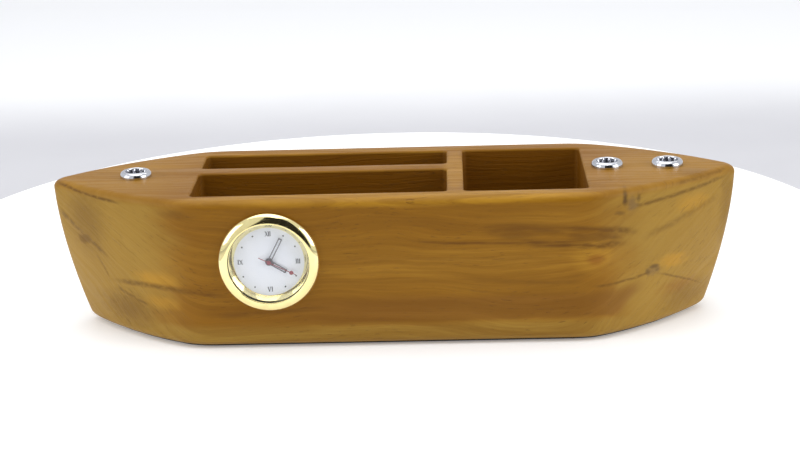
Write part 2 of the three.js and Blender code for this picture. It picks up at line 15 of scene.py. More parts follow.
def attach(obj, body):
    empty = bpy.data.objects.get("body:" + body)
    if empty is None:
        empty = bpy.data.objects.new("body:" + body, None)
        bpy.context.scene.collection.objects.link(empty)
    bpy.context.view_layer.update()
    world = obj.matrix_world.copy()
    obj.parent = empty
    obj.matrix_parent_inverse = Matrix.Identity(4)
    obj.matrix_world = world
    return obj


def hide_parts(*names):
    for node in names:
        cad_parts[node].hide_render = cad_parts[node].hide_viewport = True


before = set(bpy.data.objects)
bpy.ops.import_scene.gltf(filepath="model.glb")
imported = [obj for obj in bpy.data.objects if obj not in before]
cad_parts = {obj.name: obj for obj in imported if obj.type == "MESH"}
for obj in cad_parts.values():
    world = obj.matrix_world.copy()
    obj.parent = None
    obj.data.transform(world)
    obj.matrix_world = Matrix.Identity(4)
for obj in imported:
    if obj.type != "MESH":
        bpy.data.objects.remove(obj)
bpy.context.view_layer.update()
MM = 0.001

# %% [markdown]
# ## The camera
# A long, low object is best seen from a distance through a longer lens, so that the two bows keep
# their proportions. The camera is set by its place, how far it looks down, how far it is turned and
# how far it leans, because those four are what a tripod's head sets.

# %% Camera
CAMERA_PLACE = Vector((22.9, -708.9, 242.2)) * MM
LENS_MM = 89.2
LOOKS_DOWN = math.radians(16.36)
TURNED = math.radians(-1.675)
LEANS = math.radians(-1.713)


def aim(camera, place, down, turned_by, lean):
    """Stands the camera at place and points it, from angles in radians."""
    level = math.cos(down)
    forward = Vector((math.sin(turned_by) * level, math.cos(turned_by) * level, -math.sin(down)))
    level_right = Vector((math.cos(turned_by), -math.sin(turned_by), 0))
    level_up = level_right.cross(forward)
    right = level_right * math.cos(lean) + level_up * math.sin(lean)
    up = level_up * math.cos(lean) - level_right * math.sin(lean)
    axes = Matrix((right, up, -forward)).transposed().to_4x4()
    camera.matrix_world = Matrix.Translation(place) @ axes


camera = bpy.data.objects.new("camera", bpy.data.cameras.new("camera"))
bpy.context.scene.collection.objects.link(camera)
camera.data.lens = LENS_MM
camera.data.sensor_width = 36
camera.data.clip_start = 0.01
aim(camera, CAMERA_PLACE, LOOKS_DOWN, TURNED, LEANS)
bpy.context.scene.camera = camera
print("Camera", round((CAMERA_PLACE - Vector((0, 0, 0.03))).length, 3), "m from the middle of the tidy")

# %% [markdown]
# ## Small tools for node trees
# A procedural finish is a chain of small maths. Writing each node by hand takes four lines, so one
# helper makes a node, sets it up and links it, and the short helpers after it name what a chain does.

# %% Node helpers
def put(tree, kind, inputs=None, **settings):
    """A new node. Each input is a value, or another node's output to link from."""
    made = tree.nodes.new("ShaderNode" + kind)
    for name, value in settings.items():
        setattr(made, name, value)
    for key, value in (inputs or {}).items():
        if isinstance(value, bpy.types.NodeSocket):
            tree.links.new(value, made.inputs[key])
        else:
            made.inputs[key].default_value = value
    return made


def maths(tree, operation, *values):
    """The output of a Math node over one, two or three values."""
    return put(tree, "Math", dict(enumerate(values)), operation=operation).outputs[0]


def product(tree, first, *others):
    """Several values multiplied together."""
    for value in others:
        first = maths(tree, "MULTIPLY", first, value)
    return first


def rescaled(tree, value, low, high, to_low=0.0, to_high=1.0, smooth=True):
    """value moved from low..high to to_low..to_high, and held there outside it."""
    kind = "SMOOTHSTEP" if smooth else "LINEAR"
    inputs = {"Value": value, "From Min": low, "From Max": high, "To Min": to_low, "To Max": to_high}
    return put(tree, "MapRange", inputs, interpolation_type=kind).outputs[0]


def stretched(tree, position, along, across, shift=0.0):
    """Texture coordinates that run slowly along X and fast across it, as fibres do."""
    inputs = {"Vector": position, "Scale": (along, across, across), "Location": (shift, shift, shift)}
    return put(tree, "Mapping", inputs).outputs[0]


def noise(tree, where, scale=1.0, detail=2.0, roughness=0.5, output="Fac"):
    inputs = {"Vector": where, "Scale": scale, "Detail": detail, "Roughness": roughness}
    return put(tree, "TexNoise", inputs).outputs[output]


def blended(tree, share, first, second, blend="MIX"):
    """Two colours mixed by share."""
    mixer = put(tree, "Mix", {0: share, 6: first, 7: second}, data_type="RGBA", blend_type=blend)
    return mixer.outputs[2]


def new_group(name, inputs, outputs):
    """An empty node group with named sockets, and its input and output nodes."""
    group = bpy.data.node_groups.new(name, "ShaderNodeTree")
    for socket, kind, value in inputs:
        made = group.interface.new_socket(name=socket, in_out="INPUT", socket_type="NodeSocket" + kind)
        if value is not None:
            made.default_value = value
    for socket, kind in outputs:
        group.interface.new_socket(name=socket, in_out="OUTPUT", socket_type="NodeSocket" + kind)
    entry = group.nodes.new("NodeGroupInput")
    leave = group.nodes.new("NodeGroupOutput")
    return group, entry.outputs, leave.inputs


def place_group(tree, group, inputs=None):
    """The group's outputs, where it stands in tree with its own values."""
    made = tree.nodes.new("ShaderNodeGroup")
    made.node_tree = group
    for key, value in (inputs or {}).items():
        if isinstance(value, bpy.types.NodeSocket):
            tree.links.new(value, made.inputs[key])
        else:
            made.inputs[key].default_value = value
    return made.outputs


def new_material(name):
    """A material with an empty Principled shader: its tree, the shader and the object coordinates."""
    material = bpy.data.materials.new(name)
    material.use_nodes = True
    tree = material.node_tree
    shader = tree.nodes["Principled BSDF"]
    position = put(tree, "TexCoord").outputs["Object"]
    return material, tree, shader, position


def wire(tree, shader, **sources):
    """Feeds the shader's sockets, with underscores for the spaces in their names."""
    for name, value in sources.items():
        socket = shader.inputs[name.replace("_", " ")]
        if isinstance(value, bpy.types.NodeSocket):
            tree.links.new(value, socket)
        else:
            socket.default_value = value


def bumped(tree, height, distance, strength=1.0):
    inputs = {"Height": height, "Distance": distance, "Strength": strength}
    return put(tree, "Bump", inputs).outputs["Normal"]


# %% [markdown]
# ## Marks in the wood: streaks and patches
# The block came from near the heart of a tree, so dark mineral streaks, a reddish heartwood band and
# two small knots run through it. Each mark is a mask in the block's own millimetres. A streak is a
# thin wavy sheet that runs along the grain, and a patch is a soft ellipsoid. Both are solid, so one
# mark shows on the deck, the front and inside a pocket alike. The dark streaks are made to fade towards
# the back of the block, so that the back doesn't repeat the front.

# %% Streak and patch groups
def streak_group():
    """A streak from one X to another, whose height follows a line with a sag in the middle."""
    group, given, out = new_group(
        "Grain streak",
        [
            ("Position", "Vector", None),
            ("From X", "Float", 0.0),
            ("To X", "Float", 10.0),
            ("From Z", "Float", 0.0),
            ("To Z", "Float", 0.0),
            ("Sag", "Float", 0.0),
            ("Width", "Float", 1.0),
            ("Wobble", "Float", 1.0),
        ],
        [("Mask", "Float")],
    )
    parts = put(group, "SeparateXYZ", {0: given["Position"]}).outputs
    along = rescaled(group, parts["X"], given["From X"], given["To X"], smooth=False)
    level = rescaled(group, along, 0.0, 1.0, given["From Z"], given["To Z"], smooth=False)
    from_middle = maths(group, "SUBTRACT", along, 0.5)
    arch = maths(group, "SUBTRACT", 1.0, product(group, maths(group, "POWER", from_middle, 2.0), 4.0))
    level = maths(group, "SUBTRACT", level, maths(group, "MULTIPLY", arch, given["Sag"]))
    wave = noise(group, stretched(group, given["Position"], 0.09, 0.25), detail=3.0)
    wave = maths(group, "MULTIPLY", maths(group, "SUBTRACT", wave, 0.5), given["Wobble"])
    height = maths(group, "ADD", parts["Z"], wave)
    off = maths(group, "ABSOLUTE", maths(group, "SUBTRACT", height, level))
    near = rescaled(group, off, 0.0, given["Width"], 1.0, 0.0)
    rise = rescaled(group, along, 0.0, 0.22)
    fall = rescaled(group, along, 0.78, 1.0, 1.0, 0.0)
    blotch = noise(group, stretched(group, given["Position"], 0.12, 0.9, 7.0))
    patchy = rescaled(group, blotch, 0.25, 0.6, 0.45, 1.0)
    mask = product(group, rise, fall, near, patchy)
    group.links.new(mask, out["Mask"])
    return group


def patch_group():
    """A soft ellipsoid with ragged edges, drawn out along the grain."""
    group, given, out = new_group(
        "Stained patch",
        [
            ("Position", "Vector", None),
            ("Middle", "Vector", None),
            ("Reach", "Vector", None),
            ("Softness", "Float", 0.5),
            ("Ragged", "Float", 0.3),
        ],
        [("Mask", "Float")],
    )
    ends = {0: given["Position"], 1: given["Middle"]}
    off = put(group, "VectorMath", ends, operation="SUBTRACT").outputs[0]
    shares = put(group, "VectorMath", {0: off, 1: given["Reach"]}, operation="DIVIDE").outputs[0]
    distance = put(group, "VectorMath", {0: shares}, operation="LENGTH").outputs["Value"]
    edge = noise(group, stretched(group, given["Position"], 0.1, 0.5, 3.0), detail=3.0)
    edge = maths(group, "MULTIPLY", maths(group, "SUBTRACT", edge, 0.5), given["Ragged"])
    inner = maths(group, "SUBTRACT", 1.0, given["Softness"])
    mask = rescaled(group, maths(group, "ADD", distance, edge), inner, 1.0, 1.0, 0.0)
    group.links.new(mask, out["Mask"])
    return group


STREAK = streak_group()
PATCH = patch_group()
print("Wood mark groups:", STREAK.name, "and", PATCH.name)

# %% [markdown]
# ## The wood itself
# Wood is a solid texture: growth rings are thin shells about the tree's heart, stretched along the
# grain and a little bent. Sampling one 3-D pattern by position, rather than wrapping a flat pattern
# round the hull, makes the lines of the deck turn down over the rounded edge without a seam. The
# layers, from coarse to fine, are broad tone, growth rings, fibres and the short dark pores.

# %% Wood colours
PALE_WOOD = (0.345, 0.163, 0.012, 1)
MID_WOOD = (0.255, 0.106, 0.003, 1)
BROWN_WOOD = (0.170, 0.064, 0.002, 1)
HEARTWOOD = (0.185, 0.070, 0.008, 1)
OLIVE_WOOD = (0.365, 0.222, 0.038, 1)
GOLD_WOOD = (0.50, 0.255, 0.022, 1)
RED_WOOD = (0.250, 0.085, 0.008, 1)
STREAK_BROWN = (0.080, 0.027, 0.003, 1)
KNOT_DARK = (0.060, 0.028, 0.010, 1)
KNOT_GREY = (0.190, 0.115, 0.045, 1)
PORE_BROWN = (0.085, 0.030, 0.003, 1)

POCKET_PAINTED_SHADE = (0.150, 0.048, 0.001, 1)  # painted shade for the raw wood in the pockets, darker and browner than the oiled outside

FIGURE_FADES = (62, 92)  # the grain's contrast is full in the middle and soft in the pale bows
FIGURE_AT_BOWS = 0.16

STREAKS_FADE = (-4, 14)  # from front to back, where the dark streaks lose their strength
STREAKS_AT_BACK = 0.2

DECK_Z = 55
PITH_Y = 95  # the heart of the tree, in the block's millimetres: behind the block and under it
PITH_Z = -60
RING_PITCH = 4.2


def wood_bands(tree, position):
    """Masks 0 to 1 for broad tone, rings and fibres, and the coordinates that follow the rings."""
    bend = noise(tree, stretched(tree, position, 0.011, 0.028), detail=2.0, output="Color")
    bend = put(tree, "VectorMath", {0: bend, 1: (0.5, 0.5, 0.5)}, operation="SUBTRACT").outputs[0]
    bend = put(tree, "VectorMath", {0: bend, 1: (0, 13, 13)}, operation="MULTIPLY").outputs[0]
    bent = put(tree, "VectorMath", {0: position, 1: bend}, operation="ADD").outputs[0]
    broad = rescaled(tree, noise(tree, stretched(tree, bent, 0.007, 0.05), detail=3.0), 0.3, 0.7)
    parts = put(tree, "SeparateXYZ", {0: bent}).outputs
    off_y = maths(tree, "SUBTRACT", parts["Y"], PITH_Y)
    off_z = maths(tree, "SUBTRACT", parts["Z"], PITH_Z)
    squares = [maths(tree, "POWER", off, 2.0) for off in (off_y, off_z)]
    from_pith = maths(tree, "SQRT", maths(tree, "ADD", *squares))
    turn = maths(tree, "MULTIPLY", from_pith, 2 * math.pi / RING_PITCH)
    rings = rescaled(tree, maths(tree, "SINE", turn), -0.7, 1.0)
    around = product(tree, maths(tree, "SUBTRACT", off_y, off_z), 0.1)
    sheets = put(tree, "CombineXYZ", {0: parts["X"], 1: from_pith, 2: around}).outputs[0]
    coarse = noise(tree, stretched(tree, sheets, 0.020, 0.9), detail=3.0, roughness=0.6)
    fine = noise(tree, stretched(tree, sheets, 0.055, 3.4, 5.0), detail=3.0, roughness=0.65)
    return broad, rings, rescaled(tree, coarse, 0.32, 0.68), rescaled(tree, fine, 0.3, 0.7), sheets


# %% [markdown]
# ### Where the marks lie
# Each row is one mark: a streak's two ends, sag, width, wobble and how strongly it darkens, or a
# patch's middle, reach, softness, raggedness and strength. All are in millimetres from the middle of
# the underside, as a maker would measure them with a ruler on the block.

# %% Marks of this block
# From X, To X, From Z, To Z, Sag, Width, Wobble, strength
DARK_STREAKS = [
    (4, 76, 39.4, 38.2, 1.3, 0.8, 1.2, 0.75),
    (30, 66, 43.0, 41.8, -0.4, 3.0, 2.0, 0.60),
    (42, 86, 38.6, 35.4, 0.8, 2.2, 1.8, 0.80),
    (52, 90, 42.8, 38.2, -1.2, 2.0, 1.6, 0.70),
    (60, 84, 40.2, 37.0, -0.6, 1.8, 1.2, 0.60),
    (22, 72, 24.6, 22.4, 0.4, 1.4, 2.0, 0.30),
    (-106, -56, 20.6, 19.2, -2.0, 1.7, 1.0, 0.62),
    (-103, -86, 19.2, 13.4, 0.5, 1.5, 1.0, 0.55),
    (-126, -103, 45.0, 29.0, 0.0, 2.2, 1.2, 0.60),
    (-110, -104, 30.0, 20.0, -1.0, 1.6, 0.8, 0.40),
    (-127, -96, 54.6, 51.6, 0.4, 1.0, 0.6, 0.75),
    (-70, -20, 12.6, 15.4, 0.5, 1.8, 2.0, 0.45),
    (70, 95, 20.6, 22.6, 0.8, 0.9, 1.0, 0.60),
    (94, 116, 21.6, 9.4, -1.0, 0.9, 1.0, 0.50),
    (88, 122, 35.5, 46.0, 0.4, 2.2, 2.0, 0.34),
    (82, 126, 47.8, 52.4, 0.3, 1.3, 1.0, 0.60),
    (100, 126, 53.6, 54.4, 0.2, 1.2, 1.0, 0.45),
    (-70, -10, 45.0, 46.5, 0.8, 0.9, 2.0, 0.16),
    (-20, 60, 33.0, 32.0, 0.5, 1.1, 2.5, 0.16),
    (-60, 10, 26.0, 27.5, -0.6, 0.9, 2.5, 0.16),
]
# Middle, reach, softness, raggedness, strength
DARK_PATCHES = [
    ((-113.5, -11, 35), (5.5, 9, 3.6), 0.8, 0.8, 0.60),
    ((-98, -22, 11), (24, 20, 10), 0.9, 0.6, 0.46),
    ((108, -14, 9), (18, 20, 8), 0.9, 0.6, 0.32),
    ((-113, -14, 42), (16, 15, 20), 0.9, 0.5, 0.36),
    ((111, -12, 54.5), (13, 9, 3), 0.9, 0.5, 0.32),
    ((123, -4, 40), (5, 9, 30), 0.9, 0.5, 0.26),
    ((-78, -38, 50), (14, 10, 2.6), 0.9, 0.9, 0.40),
    ((44, -38, 40.6), (12, 10, 3.4), 0.8, 0.8, 0.45),
    ((72, -37, 39.0), (14, 12, 3.0), 0.7, 0.9, 0.55),
]
RED_PATCHES = [
    ((72.3, -37, 30.5), (5.0, 8, 3.2), 0.85, 0.7, 0.75),
    ((104, -18, 14), (14, 14, 4.0), 0.9, 0.8, 0.40),
]
# A knot is a pale eye inside a dark bark line.
KNOT_EYES = [
    ((85.6, -32.0, 49.0), (3.2, 9, 5.0), 0.9, 0.9, 0.75),
    ((94.2, -25.5, 22.6), (4.2, 7, 2.8), 0.9, 0.9, 0.62),
]
KNOT_LINES = [
    ((83.0, -33.0, 51.6), (1.5, 9, 5.2), 0.95, 0.9, 0.85),
    ((81.0, -33.6, 46.6), (3.0, 9, 1.4), 0.95, 0.9, 0.45),
    ((88.0, -31.0, 51.0), (1.2, 9, 3.4), 0.95, 0.9, 0.50),
    ((94.0, -25.6, 24.0), (3.2, 7, 1.2), 0.95, 0.8, 0.62),
    ((91.6, -26.8, 22.6), (1.3, 7, 2.0), 0.95, 0.8, 0.50),
    ((95.4, -24.6, 22.6), (1.4, 7, 1.4), 0.95, 0.8, 0.36),
]
GOLD_PATCHES_AND_PAINTED_DECK_LIGHT = [
    # The first two rows are painted light: they lighten the lit top of the deck, along the front rail
    # with its rounded front edge, where a painted highlight runs, and along the divider between the
    # pockets.
    ((0, -35, 55), (90, 7.5, 4.2), 0.4, 0.3, 0.85),
    ((23, 0, 55), (5.5, 33, 3.0), 0.5, 0.3, 0.60),
    ((71, -37, 33), (10, 16, 9), 0.8, 0.6, 0.75),
    ((-84, -31, 24.6), (17, 14, 4.4), 0.9, 0.6, 0.75),
    ((-84, -32, 16.0), (11, 12, 3.6), 0.9, 0.6, 0.60),
    ((101, -20, 24.5), (10, 12, 4.0), 0.8, 0.8, 0.65),
    ((109, -16, 45), (12, 12, 5.0), 0.8, 0.8, 0.5),
]


def all_marks(tree, position, group, rows, names):
    """The strongest of several marks at each point."""
    total = None
    for row in rows:
        values = dict(zip(names, row))
        mask = place_group(tree, group, {"Position": position, **values})["Mask"]
        mask = maths(tree, "MULTIPLY", mask, row[-1])
        total = mask if total is None else maths(tree, "MAXIMUM", total, mask)
    return total


STREAK_INPUTS = ("From X", "To X", "From Z", "To Z", "Sag", "Width", "Wobble")
PATCH_INPUTS = ("Middle", "Reach", "Softness", "Ragged")
ALL_PATCHES = DARK_PATCHES + RED_PATCHES + GOLD_PATCHES_AND_PAINTED_DECK_LIGHT
print(len(DARK_STREAKS), "streaks,", len(ALL_PATCHES), "patches")

# %% [markdown]
# ### Heartwood, sapwood and the finished colour
# A reddish heartwood band runs along the lower front and pale sapwood lies under it and at both bows.
# The group below lays the broad bands first, then the marks, then the fibres and pores, because that
# is the order in which they show through one another. It gives colour, surface height and roughness.

# %% Wood group
HEART_LOW_Z = 9.2
HEART_HIGH_Z = 18.4
HEART_FROM_X = -34
HEART_TO_X = 90
HEART_SLANT = 1.1  # how far the right end leans, in millimetres of X for each of height
# How strongly each layer shows, from 0 to 1
SAPWOOD_SHOWS = 0.75
HEARTWOOD_SHOWS = 0.62
RINGS_SHOW = 0.20
COARSE_SHOWS = 0.42
FINE_SHOWS = 0.26
PORES_SHOW = 0.4


def heartwood_mask(tree, position):
    """The reddish band, with ragged edges: it fades out on the left and ends short on the right."""
    parts = put(tree, "SeparateXYZ", {0: position}).outputs
    edge = noise(tree, stretched(tree, position, 0.03, 0.12, 11.0), detail=4.0)
    ragged = product(tree, maths(tree, "SUBTRACT", edge, 0.5), 5.0)
    height = maths(tree, "ADD", parts["Z"], ragged)
    above = rescaled(tree, height, HEART_LOW_Z - 0.8, HEART_LOW_Z + 0.8)
    below = rescaled(tree, height, HEART_HIGH_Z - 2.2, HEART_HIGH_Z + 2.2, 1.0, 0.0)
    right = rescaled(tree, parts["X"], HEART_FROM_X - 25, HEART_FROM_X + 25)
    slant = maths(tree, "MULTIPLY", maths(tree, "SUBTRACT", HEART_HIGH_Z, height), HEART_SLANT)
    leaning = maths(tree, "ADD", parts["X"], slant)
    stem = rescaled(tree, leaning, HEART_TO_X - 3, HEART_TO_X + 3, 1.0, 0.0)
    return product(tree, product(tree, above, below), product(tree, right, stem))


def sapwood_mask(tree, position):
    """Pale olive wood along the bottom edge and on the sides of both bows."""
    parts = put(tree, "SeparateXYZ", {0: position}).outputs
    edge = noise(tree, stretched(tree, position, 0.03, 0.1, 19.0), detail=3.0)
    edge = maths(tree, "MULTIPLY", maths(tree, "SUBTRACT", edge, 0.5), 22.0)
    reach = maths(tree, "ADD", maths(tree, "ABSOLUTE", parts["X"]), edge)
    side = rescaled(tree, parts["Z"], DECK_Z - 4, DECK_Z - 1, 1.0, 0.2)
    bows = maths(tree, "MULTIPLY", rescaled(tree, reach, 70, 92), side)
    wavy = maths(tree, "ADD", parts["Z"], product(tree, edge, 0.12))
    foot = rescaled(tree, wavy, 6.0, 10.5, 1.0, 0.0)
    return maths(tree, "MAXIMUM", bows, foot)


def wood_group():
    group, given, out = new_group(
        "Solid wood",
        [("Position", "Vector", None), ("Painted shade", "Float", 0.0)],
        [("Color", "Color"), ("Height", "Float"), ("Roughness", "Float")],
    )
    to_millimetres = {0: given["Position"], 1: (1000, 1000, 1000)}
    position = put(group, "VectorMath", to_millimetres, operation="MULTIPLY").outputs[0]
    broad, rings, coarse, fine, sheets = wood_bands(group, position)
    colour = blended(group, broad, MID_WOOD, PALE_WOOD)
    sapwood = product(group, sapwood_mask(group, position), SAPWOOD_SHOWS)
    colour = blended(group, sapwood, colour, OLIVE_WOOD)
    # Gold patches of the wood, and painted light on the deck's front rail and divider.
    gold = all_marks(group, position, PATCH, GOLD_PATCHES_AND_PAINTED_DECK_LIGHT, PATCH_INPUTS)
    colour = blended(group, gold, colour, GOLD_WOOD)
    red = all_marks(group, position, PATCH, RED_PATCHES, PATCH_INPUTS)
    colour = blended(group, red, colour, RED_WOOD)
    heartwood = product(group, heartwood_mask(group, position), HEARTWOOD_SHOWS)
    colour = blended(group, heartwood, colour, HEARTWOOD)
    length = maths(group, "ABSOLUTE", put(group, "SeparateXYZ", {0: position}).outputs["X"])
    figure = rescaled(group, length, *FIGURE_FADES, 1.0, FIGURE_AT_BOWS)
    colour = blended(group, product(group, figure, RINGS_SHOW, rings), colour, BROWN_WOOD)
    streaks = all_marks(group, position, STREAK, DARK_STREAKS, STREAK_INPUTS)
    depth = put(group, "SeparateXYZ", {0: position}).outputs["Y"]
    streaks = product(group, streaks, rescaled(group, depth, *STREAKS_FADE, 1.0, STREAKS_AT_BACK))
    patches = all_marks(group, position, PATCH, DARK_PATCHES, PATCH_INPUTS)
    colour = blended(group, maths(group, "MAXIMUM", streaks, patches), colour, STREAK_BROWN)
    eyes = all_marks(group, position, PATCH, KNOT_EYES, PATCH_INPUTS)
    colour = blended(group, eyes, colour, KNOT_GREY)
    bark = all_marks(group, position, PATCH, KNOT_LINES, PATCH_INPUTS)
    colour = blended(group, bark, colour, KNOT_DARK)
    colour = blended(group, product(group, figure, COARSE_SHOWS, coarse), colour, BROWN_WOOD)
    colour = blended(group, product(group, figure, FINE_SHOWS, fine), colour, BROWN_WOOD)
    fleck = noise(group, stretched(group, sheets, 0.30, 4.6, 9.0), detail=1.0)
    crowding = noise(group, stretched(group, position, 0.02, 0.06, 4.0))
    busy = rescaled(group, crowding, 0.35, 0.65, 0.25, 1.0)
    pores = product(group, rescaled(group, fleck, 0.66, 0.74), busy)
    colour = blended(group, product(group, pores, PORES_SHOW), colour, PORE_BROWN)
    # Painted shade, laid last: the pocket faces are darkened towards the pocket shade colour.
    colour = blended(group, given["Painted shade"], colour, POCKET_PAINTED_SHADE)
    group.links.new(colour, out["Color"])
    relief = maths(group, "SUBTRACT", product(group, coarse, 0.35), pores)
    relief = maths(group, "ADD", relief, product(group, fine, 0.2))
    group.links.new(relief, out["Height"])
    group.links.new(rescaled(group, coarse, 0.0, 1.0, 0.44, 0.60), out["Roughness"])
    return group


WOOD = wood_group()


DEEP_Z = (24, 44)  # between these heights the painted shade in a pocket goes from almost none deep down to full near the deck


def wood_material(name, shade, deep_painted_shade, relief, coat):
    """Oiled or raw wood with painted shade: the first shade value holds near the deck and the second
    far down in a pocket, where the rendered shade already darkens the walls.
    """
    material, tree, shader, position = new_material(name)
    height = put(tree, "SeparateXYZ", {0: position}).outputs["Z"]
    shade = rescaled(tree, height, DEEP_Z[0] * MM, DEEP_Z[1] * MM, deep_painted_shade, shade)
    made = place_group(tree, WOOD, {"Position": position, "Painted shade": shade})
    wire(
        tree,
        shader,
        Base_Color=made["Color"],
        Roughness=made["Roughness"],
        Specular_IOR_Level=0.22,
        Specular_Tint=(1.0, 0.78, 0.45, 1),
        Coat_Weight=coat,
        Coat_Roughness=0.4,
        Normal=bumped(tree, made["Height"], relief),
    )
    return material


outside_wood = wood_material("oiled_hardwood", 0.0, 0.0, 0.00012, 0.14)
# The pockets get the same wood with painted shade, full near the deck and almost none far down, and no
# coat.
pocket_wood = wood_material("milled_hardwood_painted_shade", 0.75, 0.05, 0.00025, 0.0)
print("Wood group has", len(WOOD.nodes), "nodes")

# %% [markdown]
# ## Mesh tools
# Nearly everything here is either turned on a lathe, cut from flat stock or milled from a block, so
# three ways of making a mesh are enough: turning a profile, extruding a flat outline with bevelled
# edges, and carving one solid with another. Corners are eased, because a real edge always catches a
# thin line of light and a perfectly sharp one looks false.

# %% Mesh helpers
def linked(name, mesh):
    obj = bpy.data.objects.new(name, mesh)
    bpy.context.scene.collection.objects.link(obj)
    return obj


def mesh_from(name, points, faces):
    """A mesh with its faces turned outwards."""
    mesh = bpy.data.meshes.new(name)
    mesh.from_pydata(points, [], faces)
    work = bmesh.new()
    work.from_mesh(mesh)
    bmesh.ops.remove_doubles(work, verts=work.verts, dist=1e-5)
    bmesh.ops.recalc_face_normals(work, faces=work.faces)
    work.to_mesh(mesh)
    work.free()
    return mesh


def smooth(mesh, sharp_degrees=32):
    """Smooth shading that keeps the edges that are really there."""
    mesh.polygons.foreach_set("use_smooth", [True] * len(mesh.polygons))
    mesh.set_sharp_from_angle(angle=math.radians(sharp_degrees))


def quarter(middle, reach, start, end, steps):
    """Points on an ellipse's arc, from start to end in degrees."""
    angles = [math.radians(start + (end - start) * i / steps) for i in range(steps + 1)]
    return [(middle[0] + reach[0] * math.cos(a), middle[1] + reach[1] * math.sin(a)) for a in angles]


def eased(points, radius, steps=3, closed=True):
    """The same outline with each corner rounded off by about radius."""
    out = []
    count = len(points)
    for i, point in enumerate(points):
        if not closed and i in (0, count - 1):
            out.append(point)
            continue
        here = Vector(point)
        before = Vector(points[i - 1]) - here
        after = Vector(points[(i + 1) % count]) - here
        back = here + before.normalized() * min(radius, before.length * 0.45)
        on = here + after.normalized() * min(radius, after.length * 0.45)
        for s in range(steps + 1):
            t = s / steps
            spot = back * (1 - t) ** 2 + here * 2 * t * (1 - t) + on * t**2
            out.append((spot.x, spot.y))
    return out


def turned(name, profile, steps=128, ripple=None, closed=True):
    """A solid of revolution about Z from (radius, z) points; ripple may shift the radius."""
    points = []
    rings = []
    for radius, z in profile:
        if radius < 1e-6:
            rings.append([len(points)] * steps)
            points.append((0, 0, z))
            continue
        rings.append(range(len(points), len(points) + steps))
        for s in range(steps):
            angle = 2 * math.pi * s / steps
            reach = radius + (ripple(radius, z, angle) if ripple else 0)
            points.append((reach * math.cos(angle), reach * math.sin(angle), z))
    faces = []
    pairs = list(zip(rings, rings[1:])) + ([(rings[-1], rings[0])] if closed else [])
    for low, high in pairs:
        for s in range(steps):
            t = (s + 1) % steps
            corners = list(dict.fromkeys([low[s], low[t], high[t], high[s]]))
            if len(corners) > 2:
                faces.append(corners)
    return mesh_from(name, points, faces)


def flat_stock(name, outlines, low, high, bevel):
    """A plate from low to high with bevelled edges; the outlines after the first are holes."""
    curve = bpy.data.curves.new(name, "CURVE")
    curve.dimensions = "2D"
    curve.fill_mode = "BOTH"
    curve.extrude = (high - low) / 2 - bevel
    curve.bevel_depth = bevel
    curve.bevel_resolution = 2
    curve.offset = -bevel
    for outline in outlines:
        spline = curve.splines.new("POLY")
        spline.points.add(len(outline) - 1)
        for point, (x, y) in zip(spline.points, outline):
            point.co = (x, y, 0, 1)
        spline.use_cyclic_u = True
    obj = linked(name, curve)
    mesh = bpy.data.meshes.new_from_object(obj.evaluated_get(bpy.context.evaluated_depsgraph_get()))
    bpy.data.objects.remove(obj)
    mesh.transform(Matrix.Translation((0, 0, (low + high) / 2)))
    work = bmesh.new()
    work.from_mesh(mesh)
    bmesh.ops.remove_doubles(work, verts=work.verts, dist=1e-5)
    bmesh.ops.recalc_face_normals(work, faces=work.faces)
    work.to_mesh(mesh)
    work.free()
    return mesh


def circle(radius, x=0, y=0, steps=64):
    turn = 2 * math.pi / steps
    return [(x + radius * math.cos(i * turn), y + radius * math.sin(i * turn)) for i in range(steps)]


def merged(name, *meshes):
    """Several meshes as one."""
    work = bmesh.new()
    for mesh in meshes:
        work.from_mesh(mesh)
    whole = bpy.data.meshes.new(name)
    work.to_mesh(whole)
    work.free()
    return whole


def carved(mesh, *tools):
    """mesh with the tools cut out of it."""
    block = linked("block", mesh)
    cutter = linked("cutter", merged("cutter", *tools))
    modifier = block.modifiers.new("carve", "BOOLEAN")
    modifier.operation = "DIFFERENCE"
    modifier.solver = "EXACT"
    modifier.use_self = True
    modifier.object = cutter
    bpy.context.view_layer.update()
    made = bpy.data.meshes.new_from_object(block.evaluated_get(bpy.context.evaluated_depsgraph_get()))
    bpy.data.objects.remove(block)
    bpy.data.objects.remove(cutter)
    return made


def piece(name, mesh, body, slot, material, *stands_for):
    """Makes mesh a piece in metres, riding on its body, in place of the CAD nodes."""
    mesh.transform(Matrix.Scale(MM, 4))
    mesh.materials.clear()
    mesh.materials.append(material)
    obj = linked(name, mesh)
    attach(obj, body)
    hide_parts(*stands_for)
    print(f"{name}: {len(mesh.polygons)} faces on {body}")
    return obj


# %% [markdown]
# ## The hull
# The real hull is band-sawn to a boat's outline, its ends are leaned in towards the keel on a belt
# sander, and its edges are rounded over. The mesh is a stack of rings of that one outline: each ring
# is a little smaller near the top and the bottom, which makes the roundover, and its ends are pulled
# in by the rake. Then the pockets, the pen holes and the clock's bore are milled out.

# %% Hull outline
HULL_WIDTH = 76
HULL_FOOT_Z = 1.02
EDGE_RADIUS = 3
SHOULDER_X = 72
SHOULDER_ROUNDING = 7
BOW_ENTRY = math.radians(24)
BOW_EXIT = math.radians(45)
BOW_APEX_X = 127.7
STEM_ROUNDING = 4.5
RAKE_START_X = 70
RAKE_SHORTENING = 12.2
RAKE_POWER = 1.7


def swept(start, pull, end, steps, share=1.0):
    """Points along a quadratic curve, without its first, as far as share of the way."""
    out = []
    for i in range(1, steps + 1):
        t = share * i / steps
        blend = [(1 - t) ** 2, 2 * t * (1 - t), t**2]
        out.append(tuple(sum(w * p[k] for w, p in zip(blend, (start, pull, end))) for k in (0, 1)))
    return out


